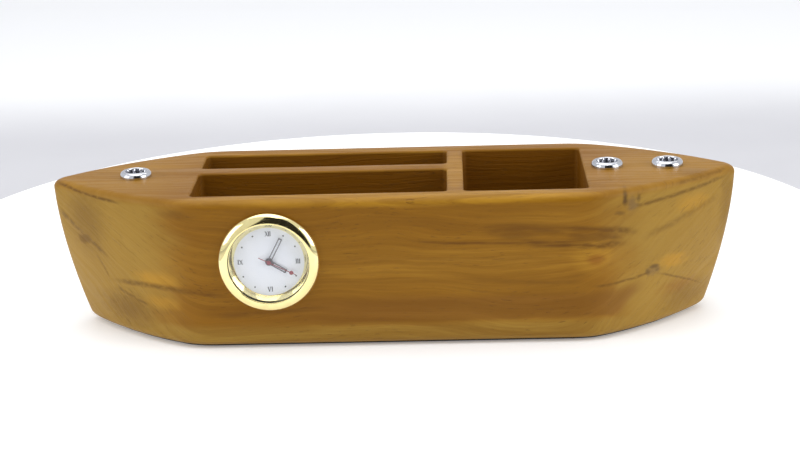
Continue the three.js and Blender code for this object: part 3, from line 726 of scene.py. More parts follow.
def bow_quarter(inset):
    """One quarter of the plan outline, from the straight side to the stem."""
    side = HULL_WIDTH / 2 - inset
    shoulder = SHOULDER_X - inset * math.tan(BOW_ENTRY / 2)
    apex = BOW_APEX_X - inset / math.sin(BOW_EXIT)
    slope_in = math.tan(BOW_ENTRY)
    slope_out = math.tan(BOW_EXIT)
    middle_x = (slope_out * apex - side - slope_in * shoulder) / (slope_out - slope_in)
    middle = (middle_x, slope_out * (apex - middle_x))
    start = (shoulder - SHOULDER_ROUNDING, side)
    along = SHOULDER_ROUNDING * math.cos(BOW_ENTRY)
    inwards = SHOULDER_ROUNDING * math.sin(BOW_ENTRY)
    turned_in = (shoulder + along, side - inwards)
    stem = (apex - STEM_ROUNDING * math.cos(BOW_EXIT), STEM_ROUNDING * math.sin(BOW_EXIT))
    points = [start]
    points += swept(start, (shoulder, side), turned_in, 6)
    points += swept(turned_in, middle, stem, 14)
    points += swept(stem, (apex, 0), (stem[0], -stem[1]), 5, share=0.5)
    return points


def plan_outline(inset):
    """The whole outline, against the clock from the right-hand stem."""
    right = bow_quarter(inset)
    back_right = right[::-1]
    back_left = [(-x, y) for x, y in right]
    front_left = [(-x, -y) for x, y in right[::-1][1:]]
    front_right = [(x, -y) for x, y in right[:-1]]
    return back_right + back_left + front_left + front_right


def raked(x, z):
    """Where a point of the outline moves to when the stem leans in."""
    beyond = abs(x) - RAKE_START_X
    if beyond <= 0:
        return x
    drop = (DECK_Z - z) / DECK_Z
    share = 1 - RAKE_SHORTENING / (BOW_APEX_X - RAKE_START_X) * drop**RAKE_POWER
    return math.copysign(RAKE_START_X + beyond * share, x)


def stacked(name, rings):
    """A solid through rings of the same number of points, closed at both ends."""
    points = [point for ring in rings for point in ring]
    size = len(rings[0])
    faces = [list(range(size)), list(range(len(points) - size, len(points)))]
    for level in range(len(rings) - 1):
        for i in range(size):
            j = (i + 1) % size
            low = level * size
            faces.append([low + i, low + j, low + size + j, low + size + i])
    return mesh_from(name, points, faces)


def hull_ring(inset, z):
    return [(raked(x, z), y, z) for x, y in plan_outline(inset)]


def hull_block():
    edge = quarter((EDGE_RADIUS, 0), (EDGE_RADIUS, EDGE_RADIUS), 180, 90, 8)
    foot = [(inset, HULL_FOOT_Z + EDGE_RADIUS - rise) for inset, rise in reversed(edge)]
    crown = [(inset, DECK_Z - EDGE_RADIUS + rise) for inset, rise in edge]
    low, high = foot[-1][1], crown[0][1]
    sides = [(0, low + (high - low) * i / 10) for i in range(1, 10)]
    return stacked("hull", [hull_ring(inset, z) for inset, z in foot + sides + crown])


print("Outline of", len(plan_outline(0)), "points round the deck")

# %% [markdown]
# ### Pockets, pen holes and the clock's bore
# A router leaves straight walls and rounded corners, and a touch of sandpaper eases the mouth. Each
# cutter therefore widens by the easing over its last half millimetre, so one boolean both mills the
# pocket and breaks its edge. The three kinds of hole are cut in a single operation.

# %% Milling
POCKET_FLOOR_Z = 12
POCKET_CORNER = 2
MOUTH_EASING = 0.8
POCKETS = [((-72, 20), (-29.7, 1.7)), ((-72, 20), (9.3, 28.5)), ((26, 70.5), (-29.7, 28.5))]
PEN_HOLES = {"left": -95.3, "right_inner": 79.2, "right_outer": 101.3}
PEN_HOLE_RADIUS = 4
PEN_HOLE_FLOOR_Z = 20
BARREL_RADIUS = 4.6
BARREL_LENGTH = 9
CLOCK_BORE_RADIUS = 16.7
CLOCK_MIDDLE = Vector((-43.7, -HULL_WIDTH / 2, 32.5))
CLOCK_FRAME = Matrix.Translation(CLOCK_MIDDLE) @ Matrix.Rotation(math.radians(90), 4, "X")


def pocket_outline(x, y, widen):
    """A rectangle with rounded corners, widened all round."""
    radius = POCKET_CORNER + widen
    left, right = x[0] - widen + radius, x[1] + widen - radius
    front, back = y[0] - widen + radius, y[1] + widen - radius
    corners = [((right, back), 0), ((left, back), 90), ((left, front), 180), ((right, front), 270)]
    reach = (radius, radius)
    return [p for middle, turn in corners for p in quarter(middle, reach, turn, turn + 90, 6)]


def pocket_cutter(x, y):
    mouth = quarter((MOUTH_EASING, 0), (MOUTH_EASING, MOUTH_EASING), 180, 90, 4)
    levels = [(0, POCKET_FLOOR_Z)]
    levels += [(widen, DECK_Z - MOUTH_EASING + rise) for widen, rise in mouth]
    levels += [(MOUTH_EASING, DECK_Z + 1)]
    rings = [[(px, py, z) for px, py in pocket_outline(x, y, widen)] for widen, z in levels]
    return stacked("pocket", rings)


def pen_hole_cutter(x):
    seat = DECK_Z - BARREL_LENGTH - 1
    profile = [(0, PEN_HOLE_FLOOR_Z), (PEN_HOLE_RADIUS, PEN_HOLE_FLOOR_Z + 2), (PEN_HOLE_RADIUS, seat)]
    profile += [(BARREL_RADIUS + 0.05, seat), (BARREL_RADIUS + 0.05, DECK_Z + 1), (0, DECK_Z + 1)]
    mesh = turned("pen_hole", profile, 48, closed=False)
    mesh.transform(Matrix.Translation((x, 0, 0)))
    return mesh


def clock_bore_cutter():
    profile = [(0, -12), (CLOCK_BORE_RADIUS, -12), (CLOCK_BORE_RADIUS, 2), (0, 2)]
    mesh = turned("clock_bore", profile, 96, closed=False)
    mesh.transform(CLOCK_FRAME)
    return mesh


cutters = [pocket_cutter(x, y) for x, y in POCKETS]
cutters += [pen_hole_cutter(x) for x in PEN_HOLES.values()]
cutters += [clock_bore_cutter()]
hull_mesh = carved(hull_block(), *cutters)
smooth(hull_mesh, 28)


def inside_pocket(spot):
    """True for a face centre on a pocket's walls or floor, in millimetres."""
    slack = 0.05
    if spot.z >= DECK_Z - MOUTH_EASING:
        return False
    for x, y in POCKETS:
        if x[0] - slack < spot.x < x[1] + slack and y[0] - slack < spot.y < y[1] + slack:
            return True
    return False


in_pocket = [inside_pocket(face.center) for face in hull_mesh.polygons]
hull = piece("wooden_hull", hull_mesh, "tidy_body", "oiled_wood", outside_wood, "hull")
# The pocket faces get the second material, the wood with painted shade.
hull.data.materials.append(pocket_wood)
hull.data.polygons.foreach_set("material_index", [int(inside) for inside in in_pocket])
print(sum(in_pocket), "faces inside the pockets")

# %% [markdown]
# ## Felt under the keel
# A sheet of black felt is glued to the underside so that the tidy doesn't scratch a desk. It is thin,
# its cut edge is soft and a little furry, and it shows only as a dark line under the front edge. The
# sheet is a low slab with a rounded rim, and a small ripple moves its edge in and out like cut fibres.

# %% Felt
FELT_THICK = 1.0
FELT_INSET = 3.8
FELT_ROUNDING = 0.35
FRAY = 0.06


def felt_material():
    """Matted fibres: a fine tangle of two noises, lint and a soft sheen at grazing angles."""
    material, tree, shader, position = new_material("black_felt")
    tangle = noise(tree, position, 2600.0, 5.0, 0.7)
    clumps = noise(tree, position, 300.0, 3.0)
    lint = rescaled(tree, noise(tree, stretched(tree, position, 900, 4000)), 0.68, 0.76)
    colour = blended(tree, clumps, (0.010, 0.009, 0.009, 1), (0.028, 0.025, 0.022, 1))
    colour = blended(tree, maths(tree, "MULTIPLY", lint, 0.4), colour, (0.11, 0.10, 0.09, 1))
    height = maths(tree, "ADD", tangle, maths(tree, "MULTIPLY", clumps, 0.6))
    wire(
        tree,
        shader,
        Base_Color=colour,
        Roughness=rescaled(tree, tangle, 0.2, 0.8, 0.86, 1.0),
        Sheen_Weight=0.3,
        Sheen_Roughness=0.5,
        Normal=bumped(tree, height, 0.0003),
    )
    return material


def felt_mesh():
    edge = quarter((FELT_ROUNDING, 0), (FELT_ROUNDING, FELT_ROUNDING), 180, 90, 4)
    foot = [(inset, FELT_ROUNDING - rise) for inset, rise in reversed(edge)]
    crown = [(inset, FELT_THICK - FELT_ROUNDING + rise) for inset, rise in edge]
    rings = []
    for inset, z in foot + crown:
        outline = plan_outline(FELT_INSET + inset)
        ring = []
        for i, (x, y) in enumerate(outline):
            frayed = FRAY * math.sin(i * 12.9) * math.sin(i * 4.7 + z * 9)
            ring.append((raked(x, z) * (1 - frayed / 60), y * (1 - frayed / 30), z))
        rings.append(ring)
    mesh = stacked("felt", rings)
    smooth(mesh, 50)
    return mesh


felt = piece("base_felt_sheet", felt_mesh(), "tidy_body", "black_felt", felt_material(), "base_felt")

# %% [markdown]
# ## Wear on smooth surfaces
# Plated and moulded surfaces look the same all over in a first draft, but a real one has handling
# marks: faint wiped scratches, a smudge here and there, and dust. One group gives both a mask and a
# height for them, and each material below chooses its own scale and amount.

# %% Handling marks group
def handling_group():
    group, given, out = new_group(
        "Handling marks",
        [("Position", "Vector", None), ("Scale", "Float", 1.0), ("Smudges", "Float", 0.5)],
        [("Mask", "Float"), ("Height", "Float")],
    )
    sizes = {0: given["Position"], 3: given["Scale"]}
    scaled = put(group, "VectorMath", sizes, operation="SCALE").outputs[0]
    smudge = rescaled(group, noise(group, scaled, 160.0, 4.0, 0.6), 0.42, 0.72)
    across = noise(group, stretched(group, scaled, 260, 5200), detail=2.0)
    upward = put(group, "Mapping", {"Vector": scaled, "Scale": (5200, 5200, 240)}).outputs[0]
    wiped_across = rescaled(group, across, 0.66, 0.72)
    wiped_up = rescaled(group, noise(group, upward), 0.68, 0.74)
    hairs = maths(group, "MAXIMUM", wiped_across, wiped_up)
    dust = rescaled(group, noise(group, scaled, 5200.0, 1.0), 0.72, 0.78)
    smudge = product(group, smudge, given["Smudges"])
    marks = maths(group, "MAXIMUM", smudge, product(group, hairs, 0.5))
    group.links.new(maths(group, "MAXIMUM", marks, product(group, dust, 0.7)), out["Mask"])
    group.links.new(maths(group, "SUBTRACT", dust, hairs), out["Height"])
    return group


HANDLING = handling_group()


def plated(name, clean, dull, polish, haze, scale=1.0, smudges=0.5, relief=0.000004):
    """Polished metal: clean and dull are its colours, polish and haze its roughness."""
    material, tree, shader, position = new_material(name)
    marks = place_group(tree, HANDLING, {"Position": position, "Scale": scale, "Smudges": smudges})
    wire(
        tree,
        shader,
        Base_Color=blended(tree, marks["Mask"], clean, dull),
        Metallic=1.0,
        Roughness=rescaled(tree, marks["Mask"], 0.0, 1.0, polish, haze),
        Normal=bumped(tree, marks["Height"], relief),
    )
    return material


def moulded(name, colour, worn, gloss, matt, grain=0.00002, scale=1.0):
    """Plastic or rubber with the fine spark-eroded grain of its mould."""
    material, tree, shader, position = new_material(name)
    marks = place_group(tree, HANDLING, {"Position": position, "Scale": scale, "Smudges": 0.4})
    pebble = noise(tree, position, 3800.0, 3.0)
    wire(
        tree,
        shader,
        Base_Color=blended(tree, maths(tree, "MULTIPLY", marks["Mask"], 0.5), colour, worn),
        Roughness=rescaled(tree, marks["Mask"], 0.0, 1.0, gloss, matt),
        Normal=bumped(tree, maths(tree, "ADD", pebble, marks["Height"]), grain),
    )
    return material


chrome = plated("chrome_plate", (0.66, 0.67, 0.71, 1), (0.46, 0.46, 0.48, 1), 0.09, 0.26)
gold = plated("polished_gold", (0.98, 0.86, 0.42, 1), (0.86, 0.70, 0.32, 1), 0.05, 0.20)
steel = plated("bright_steel", (0.60, 0.60, 0.62, 1), (0.40, 0.40, 0.41, 1), 0.22, 0.42)
brass = plated("turned_brass", (0.78, 0.60, 0.26, 1), (0.52, 0.38, 0.15, 1), 0.20, 0.45)
black_rubber = moulded("black_rubber", (0.018, 0.018, 0.018, 1), (0.05, 0.048, 0.046, 1), 0.62, 0.85)
black_plastic = moulded("black_plastic", (0.020, 0.020, 0.021, 1), (0.06, 0.06, 0.06, 1), 0.38, 0.60)
white_plastic = moulded("natural_plastic", (0.74, 0.71, 0.63, 1), (0.60, 0.57, 0.50, 1), 0.28, 0.45)
print("Handling marks group has", len(HANDLING.nodes), "nodes")

# %% [markdown]
# ## Pen bushes
# Each pen hole is lined with a chromed bush: a domed flange that sits on the deck, a barrel pushed
# into the wood, and soft ribs down the bore that hold a pen upright. The bush is turned from one
# profile. The ribs are a ripple of the bore's radius round the turn, which a lathe profile can't
# hold by itself but a moulded part has.

# %% Bushes
FLANGE_RADIUS = 5.9
DOME_HEIGHT = 2.3
BORE_RADIUS = 3.9
RIBS = 10
RIB_HEIGHT = 0.5
LIP_RADIUS = 0.45


def bore_ribs(radius, z, angle):
    """Ribs stand in from the bore's wall and fade out under the dome's lip."""
    if radius > BORE_RADIUS + 0.01 or z > DOME_HEIGHT * 0.7:
        return 0
    crest = max(0, math.cos(RIBS * angle)) ** 2
    return -RIB_HEIGHT * crest


def bush_mesh(x):
    inner = BORE_RADIUS + LIP_RADIUS
    lip = quarter((inner, DOME_HEIGHT - LIP_RADIUS), (LIP_RADIUS, LIP_RADIUS), 180, 90, 6)
    fall = (FLANGE_RADIUS - BORE_RADIUS - LIP_RADIUS, DOME_HEIGHT - LIP_RADIUS)
    crown = quarter((inner, LIP_RADIUS), fall, 90, 0, 14)
    profile = [(BORE_RADIUS, -BARREL_LENGTH), (BORE_RADIUS, DOME_HEIGHT * 0.6)] + lip + crown[1:]
    profile += [(FLANGE_RADIUS, 0.03), (BARREL_RADIUS, 0.03), (BARREL_RADIUS, -BARREL_LENGTH)]
    mesh = turned("bush", profile, 160, bore_ribs)
    mesh.transform(Matrix.Translation((x, 0, DECK_Z)))
    smooth(mesh, 38)
    return mesh


for side, x in PEN_HOLES.items():
    piece(f"chrome_bush_{side}", bush_mesh(x), "tidy_body", "chrome", chrome, f"pen_bush_{side}")

# %% [markdown]
# ## The clock's rim and glass
# The insert clock is a stock part: a polished gold bezel domed like a saucer, a flat mineral glass
# held in a black gasket, and a gilt ring that slopes down from the glass to the dial. The
# clock is built lying flat, as on a bench, with its face up along Z, and one matrix then stands it
# in the hull's front wall.

# %% Bezel, glass, gasket and slope
BEZEL_RADIUS = 18.2
BEZEL_HEIGHT = 2.95
BEZEL_INNER_RADIUS = 14.55
DOME_POWER = 1.75  # 2 would be a quarter of an ellipse, and 1 a straight cone
CASE_RADIUS = 15.4
CASE_INNER_RADIUS = 14.9
LENS_RADIUS = 14.36
LENS_LOW = 1.2
LENS_HIGH = 1.95
DIAL_FACE = -0.8
DIAL_SEEN_RADIUS = 12.6
RUNNING_GAP = 0.05


def clock_piece(name, mesh, body, slot, material, *stands_for):
    """A piece built on the clock's own axis, stood in the hull's front wall."""
    mesh.transform(CLOCK_FRAME)
    return piece(name, mesh, body, slot, material, *stands_for)


def rim_mesh():
    """A shallow dome that turns down fast at its outside and is highest just outside the glass."""
    top = BEZEL_INNER_RADIUS + 0.25
    reach = BEZEL_RADIUS - top
    rise = BEZEL_HEIGHT - 0.5
    dome = []
    for i in range(33):
        across = math.sin(math.pi / 2 * (1 - i / 32))
        dome.append((top + reach * across, 0.5 + rise * (1 - across**DOME_POWER) ** (1 / DOME_POWER)))
    lip = quarter((top, BEZEL_HEIGHT - 0.25), (0.25, 0.25), 90, 180, 6)
    profile = [(CASE_RADIUS + RUNNING_GAP, 0.05), (BEZEL_RADIUS - 0.1, 0.05)] + dome + lip[1:]
    profile += [(BEZEL_INNER_RADIUS, 1.15), (CASE_RADIUS + RUNNING_GAP, 1.15)]
    mesh = turned("rim", profile, 192)
    smooth(mesh, 40)
    return mesh


def washer(name, inner, outer, low, high, easing=0.1, sharp=40):
    """A ring of rectangular section with eased edges."""
    mesh = turned(name, eased([(inner, low), (outer, low), (outer, high), (inner, high)], easing), 160)
    smooth(mesh, sharp)
    return mesh


def lens_mesh():
    """A flat glass with a small polished chamfer round its front edge."""
    chamfer = 0.15
    corner = [(LENS_RADIUS, LENS_LOW), (LENS_RADIUS, LENS_HIGH), (LENS_RADIUS - 1, LENS_HIGH)]
    rim = eased(corner, chamfer, closed=False)
    mesh = turned("lens", [(0, LENS_LOW)] + rim + [(0, LENS_HIGH)], 160, closed=False)
    smooth(mesh, 25)
    return mesh


def slope_mesh():
    low = DIAL_FACE + 0.03
    outline = [
        (DIAL_SEEN_RADIUS, low),
        (CASE_INNER_RADIUS - RUNNING_GAP, low),
        (CASE_INNER_RADIUS - RUNNING_GAP, LENS_LOW - 0.05),
        (LENS_RADIUS - 0.2, LENS_LOW - 0.05),
        (DIAL_SEEN_RADIUS, low + 0.2),
    ]
    mesh = turned("slope", eased(outline, 0.08), 160)
    smooth(mesh, 30)
    return mesh


def glass_material():
    """Clear glass that lets lamps through, so that the dial under it is lit."""
    material, tree, shader, position = new_material("clear_glass")
    marks = place_group(tree, HANDLING, {"Position": position, "Scale": 0.6, "Smudges": 0.3})
    wire(
        tree,
        shader,
        Base_Color=(0.985, 0.992, 0.996, 1),
        Roughness=rescaled(tree, marks["Mask"], 0.0, 1.0, 0.0, 0.03),
        IOR=1.5,
        Transmission_Weight=1.0,
        Normal=bumped(tree, marks["Height"], 0.0000004),
    )
    seen_by = put(tree, "LightPath").outputs
    shadow = maths(tree, "MAXIMUM", seen_by["Is Shadow Ray"], seen_by["Is Diffuse Ray"])
    through = put(tree, "BsdfTransparent").outputs[0]
    mixer = put(tree, "MixShader", {0: shadow, 1: shader.outputs[0], 2: through})
    leave = tree.nodes["Material Output"]
    tree.links.new(mixer.outputs[0], leave.inputs["Surface"])
    return material


clock_piece("gold_bezel", rim_mesh(), "insert_clock", "polished_gold", gold, "clock_bezel")
clock_piece("front_glass", lens_mesh(), "insert_clock", "lens_glass", glass_material(), "clock_lens")
gasket = washer("gasket", LENS_RADIUS + 0.03, BEZEL_INNER_RADIUS - 0.03, LENS_LOW, LENS_HIGH, 0.08)
clock_piece("glass_gasket", gasket, "insert_clock", "black_rubber", black_rubber, "lens_gasket")
clock_piece("gilt_slope", slope_mesh(), "insert_clock", "polished_gold", gold, "dial_ring")

# %% [markdown]
# ## The dial
# The dial is a thin metal disc sprayed a cool matt white, with its hour marks printed on. Roman
# numerals stand upright at the quarters and round dots mark the other hours. The print is real
# geometry, a few hundredths of a millimetre thick, because pad printing does stand proud and then
# the marks stay crisp from close by.

# %% Dial disc
DIAL_RADIUS = 14.8
DIAL_THICK = 0.3


def dial_material():
    """Sprayed white with a fine mist texture and a faint cloudy tone."""
    material, tree, shader, position = new_material("dial_white")
    mist = noise(tree, position, 9000.0, 3.0)
    cloud = noise(tree, position, 220.0, 3.0)
    colour = blended(tree, cloud, (0.80, 0.83, 0.90, 1), (0.85, 0.87, 0.92, 1))
    wire(
        tree,
        shader,
        Base_Color=colour,
        Roughness=rescaled(tree, cloud, 0.3, 0.7, 0.45, 0.6),
        Normal=bumped(tree, mist, 0.000006),
    )
    return material


dial_disc = washer("dial", 1.0, DIAL_RADIUS, DIAL_FACE - DIAL_THICK, DIAL_FACE, 0.05)
clock_piece("dial_plate", dial_disc, "insert_clock", "white_dial", dial_material(), "dial")

# %% [markdown]
# ### Numerals and dots
# A Roman numeral is only a few strokes, so each is listed as its strokes on a small grid one unit
# high. Thick and thin strokes follow the usual lettering rule: strokes that fall to the right are
# thick and strokes that rise to the right are thin, and short bars finish the top and bottom.

# %% Dial print
NUMERAL_RADIUS = 10.3
NUMERAL_HEIGHT = 1.75
DOT_RADIUS = 0.30
DOT_CIRCLE = 10.9
PRINT_THICK = 0.03
PRINT_LOW = DIAL_FACE + 0.002
PRINT_HIGH = DIAL_FACE + PRINT_THICK
NUMERAL_WIDTH = 2.0  # the widest numeral is squeezed to this
THICK_STROKE = 0.34
THIN_STROKE = 0.20
SERIF_HALF = 0.26
SERIF_THICK = 0.09
# Each stroke runs from (x, 0) at the foot to (x, 1) at the head, in shares of the numeral's height.
LETTERS = {
    "I": ([(0.12, 0.12, THICK_STROKE)], 0.24),
    "V": ([(0.36, 0.06, THICK_STROKE), (0.36, 0.64, THIN_STROKE)], 0.70),
    "X": ([(0.62, 0.06, THICK_STROKE), (0.06, 0.62, THIN_STROKE)], 0.68),
}
LETTER_GAP = 0.10
NUMERALS = {0: "XII", 3: "III", 6: "VI", 9: "IX"}


def printed_bar(corners):
    """A flat prism of print over four corners of the dial."""
    points = [(x, y, z) for z in (PRINT_LOW, PRINT_HIGH) for x, y in corners]
    faces = [(0, 1, 2, 3), (4, 5, 6, 7)] + [(i, (i + 1) % 4, (i + 1) % 4 + 4, i + 4) for i in range(4)]
    return mesh_from("bar", points, faces)


def stroke(foot_x, head_x, width, x, y):
    """One stroke of a letter whose lower left corner is at x, y."""
    half = width / 2
    foot = x + foot_x * NUMERAL_HEIGHT
    head = x + head_x * NUMERAL_HEIGHT
    top = y + NUMERAL_HEIGHT
    return printed_bar([(foot - half, y), (foot + half, y), (head + half, top), (head - half, top)])


def serif(middle_x, y):
    left, right = middle_x - SERIF_HALF, middle_x + SERIF_HALF
    top = y + SERIF_THICK
    return printed_bar([(left, y), (right, y), (right, top), (left, top)])


def numeral(text, middle_x, middle_y):
    """A numeral centred on middle_x, middle_y, squeezed where it would be too wide."""
    width = sum(LETTERS[letter][1] for letter in text) + LETTER_GAP * (len(text) - 1)
    x = middle_x - width * NUMERAL_HEIGHT / 2
    y = middle_y - NUMERAL_HEIGHT / 2
    bars = []
    squeeze = min(1, NUMERAL_WIDTH / (width * NUMERAL_HEIGHT))
    for letter in text:
        strokes, advance = LETTERS[letter]
        bars += [stroke(foot, head, thick, x, y) for foot, head, thick in strokes]
        ends = {(end, top) for foot, head, _ in strokes for end, top in ((foot, 0), (head, 1))}
        for end, top in sorted(ends):
            bars.append(serif(x + end * NUMERAL_HEIGHT, y + top * (NUMERAL_HEIGHT - SERIF_THICK)))
        x += (advance + LETTER_GAP) * NUMERAL_HEIGHT
    whole = merged("numeral", *bars)
    centred = Matrix.Translation((middle_x, 0, 0))
    whole.transform(centred @ Matrix.Scale(squeeze, 4, (1, 0, 0)) @ centred.inverted())
    return whole


def at_hour(hour, radius):
    angle = math.radians(hour * 30)
    return radius * math.sin(angle), radius * math.cos(angle)


def print_mesh():
    bars = []
    for hour in range(12):
        if hour in NUMERALS:
            bars.append(numeral(NUMERALS[hour], *at_hour(hour, NUMERAL_RADIUS)))
        else:
            x, y = at_hour(hour, DOT_CIRCLE)
            edge = [(0, PRINT_LOW), (DOT_RADIUS, PRINT_LOW), (DOT_RADIUS, PRINT_HIGH), (0, PRINT_HIGH)]
            dot = turned("dot", edge, 24, closed=False)
            dot.transform(Matrix.Translation((x, y, 0)))
            bars.append(dot)
    return merged("print", *bars)


def ink_material():
    """Dark grey pad-printing ink with a slightly broken surface."""
    material, tree, shader, position = new_material("dial_ink")
    break_up = noise(tree, position, 7000.0, 3.0)
    colour = blended(tree, break_up, (0.025, 0.025, 0.035, 1), (0.055, 0.055, 0.070, 1))
    wire(tree, shader, Base_Color=colour, Roughness=rescaled(tree, break_up, 0.3, 0.7, 0.5, 0.7))
    return material


ink = ink_material()
clock_piece("dial_print", print_mesh(), "insert_clock", "white_dial", ink)

# %% [markdown]
# ## The hands
# The hour and minute hands are stamped from sheet as open batons: a slim frame with a slot down its
# middle on a round boss, painted dark grey. The seconds hand is a red needle with a round moon near
# its tip. A flat outline with holes, given thickness and a small bevel, is how a press makes them.

# %% Hands
HOUR_HAND = {"degrees": 121.8, "length": 7.1, "width": 1.5, "bore": 0.88, "low": -0.45, "high": -0.30}
MINUTE_HAND = {"degrees": 27.6, "length": 9.8, "width": 1.4, "bore": 0.58, "low": 0.05, "high": 0.20}
SECOND_DEGREES = 116.5
SECOND_LENGTH = 10.6
SECOND_TAIL = 4.1
SECOND_LOW, SECOND_HIGH = 0.55, 0.67
MOON_AT = 8.8
MOON_RADIUS = 0.75
HAND_BEVEL = 0.03


def turn_hand(mesh, degrees):
    mesh.transform(Matrix.Rotation(-math.radians(degrees), 4, "Z"))
    smooth(mesh, 35)
    return mesh


def baton_mesh(degrees, length, width, bore, low, high):
    """A frame with a slot, joined to a round boss."""
    half = width / 2
    rail = width * 0.24
    boss = bore + 0.5
    meets = math.sqrt(boss**2 - half**2)
    start = math.degrees(math.atan2(meets, half))
    edge = quarter((0, 0), (boss, boss), 180 - start, 360 + start, 40)
    edge += [(half, length - 0.2), (half - 0.2, length), (0.2 - half, length), (-half, length - 0.2)]
    inner = half - rail
    near, far = boss + 0.5, length - rail * 1.4
    slot = eased([(-inner, near), (inner, near), (inner, far), (-inner, far)], 0.1)
    return turn_hand(flat_stock("baton", [edge, slot, circle(bore)], low, high, HAND_BEVEL), degrees)


def seconds_mesh():
    """Needle, boss and moon in one outline."""
    half = 0.14
    boss = 0.75
    at_boss = math.degrees(math.asin(half / boss))
    at_moon = math.degrees(math.asin(half / MOON_RADIUS))
    edge = [(-half, -SECOND_TAIL), (half, -SECOND_TAIL)]
    edge += quarter((0, 0), (boss, boss), -90 + at_boss, 90 - at_boss, 16)
    edge += quarter((0, MOON_AT), (MOON_RADIUS, MOON_RADIUS), -90 + at_moon, 90 - at_moon, 16)
    edge += [(half * 0.6, SECOND_LENGTH), (-half * 0.6, SECOND_LENGTH)]
    edge += quarter((0, MOON_AT), (MOON_RADIUS, MOON_RADIUS), 90 + at_moon, 270 - at_moon, 16)
    edge += quarter((0, 0), (boss, boss), 90 + at_boss, 270 - at_boss, 16)
    return turn_hand(flat_stock("needle", [edge], SECOND_LOW, SECOND_HIGH, 0.02), SECOND_DEGREES)


def lacquer(name, colour, worn, gloss):
    material, tree, shader, position = new_material(name)
    marks = place_group(tree, HANDLING, {"Position": position, "Scale": 2.0, "Smudges": 0.5})
    wire(
        tree,
        shader,
        Base_Color=blended(tree, marks["Mask"], colour, worn),
        Roughness=rescaled(tree, marks["Mask"], 0.0, 1.0, gloss, gloss + 0.2),
        Coat_Weight=0.3,
        Coat_Roughness=0.2,
        Normal=bumped(tree, marks["Height"], 0.000003),
    )
    return material


grey_lacquer = lacquer("grey_lacquer", (0.060, 0.055, 0.068, 1), (0.11, 0.10, 0.12, 1), 0.35)
red_lacquer = lacquer("red_lacquer", (0.26, 0.012, 0.030, 1), (0.20, 0.02, 0.035, 1), 0.35)
clock_piece("hour_baton", baton_mesh(**HOUR_HAND), "hour_pipe", "grey_hand", grey_lacquer, "hour_hand")
minute_baton = baton_mesh(**MINUTE_HAND)
clock_piece("minute_baton", minute_baton, "minute_pipe", "grey_hand", grey_lacquer, "minute_hand")
clock_piece("seconds_needle", seconds_mesh(), "seconds_arbor", "red_hand", red_lacquer, "second_hand")

# %% [markdown]
# ## The back of the clock
# Pulled out of its bore, the insert shows a spun case, a ribbed rubber band that grips the wood, a
# plastic back, the knob that sets the hands and the slotted door over the cell. They are seldom
# seen, but someone who changes the cell sees nothing else, so they get the same easing and grain.

# %% Case, band, back, door and knob
CASE_BACK_Z = -9.05
CASE_BACK_THICK = 0.8
CASE_BACK_TOP = CASE_BACK_Z + CASE_BACK_THICK
BAND_RADIUS = 16.1
CELL_MIDDLE = (-6, -6)
CELL_DOOR_RADIUS = 3.8
COIN_SLOT = 0.9
STEM_MIDDLE = (2.0, 7.464)
KNOB_RADIUS = 2.4
KNOB_LOW, KNOB_HIGH = -10.6, -9.25


def band_mesh():
    """A rubber sleeve with two rounded ribs."""
    profile = [(CASE_RADIUS + RUNNING_GAP, -7.6), (BAND_RADIUS, -7.6)]
    for rib in (-6.0, -2.7):
        swell = [(rib - 0.6 + 1.2 * i / 8, 0.5 * math.sin(math.pi * i / 8) ** 2) for i in range(9)]
        profile += [(BAND_RADIUS + proud, z) for z, proud in swell]
    profile += [(BAND_RADIUS, -1.1), (CASE_RADIUS + RUNNING_GAP, -1.1)]
    mesh = turned("band", profile, 160)
    smooth(mesh, 40)
    return mesh


def back_mesh():
    """A disc with a door hole and a stem hole, and a spigot that enters the case."""
    holes = [circle(CELL_DOOR_RADIUS + 0.1, *CELL_MIDDLE), circle(0.75, *STEM_MIDDLE, steps=32)]
    disc = circle(CASE_RADIUS, steps=160)
    plate = flat_stock("back", [disc, *holes], CASE_BACK_Z, CASE_BACK_TOP, 0.12)
    low = CASE_BACK_TOP - 0.2
    outer = CASE_INNER_RADIUS - RUNNING_GAP
    spigot = washer("spigot", CASE_INNER_RADIUS - 0.6, outer, low, low + 1.0, 0.08)
    whole = merged("case_back", plate, spigot)
    smooth(whole, 35)
    return whole


def door_mesh():
    outline = [(0, CASE_BACK_Z), (CELL_DOOR_RADIUS, CASE_BACK_Z), (CELL_DOOR_RADIUS, CASE_BACK_TOP)]
    outline += [(2.6, CASE_BACK_TOP), (2.6, -6.25), (0, -6.25)]
    plug = turned("plug", eased(outline, 0.12, closed=False), 96, closed=False)
    half = COIN_SLOT / 2
    slot_outline = eased([(-2.6, -half), (2.6, -half), (2.6, half), (-2.6, half)], 0.4, 5)
    levels = (CASE_BACK_Z - 1, CASE_BACK_Z + 0.45)
    slot = stacked("slot", [[(x, y, z) for x, y in slot_outline] for z in levels])
    slot.transform(Matrix.Rotation(0.4, 4, "Z"))
    door = carved(plug, slot)
    door.transform(Matrix.Translation((*CELL_MIDDLE, 0)))
    smooth(door, 30)
    return door


def knob_mesh():
    """A low knob with rounded flutes for a fingertip."""

    def flutes(radius, z, angle):
        return -0.25 * (0.5 - 0.5 * math.cos(18 * angle)) if radius > 1.5 else 0

    section = [(0.53, KNOB_LOW), (KNOB_RADIUS, KNOB_LOW), (KNOB_RADIUS, KNOB_HIGH), (0.53, KNOB_HIGH)]
    knob = turned("knob", eased(section, 0.2, 4), 180, flutes)
    knob.transform(Matrix.Translation((*STEM_MIDDLE, 0)))
    smooth(knob, 35)
    return knob


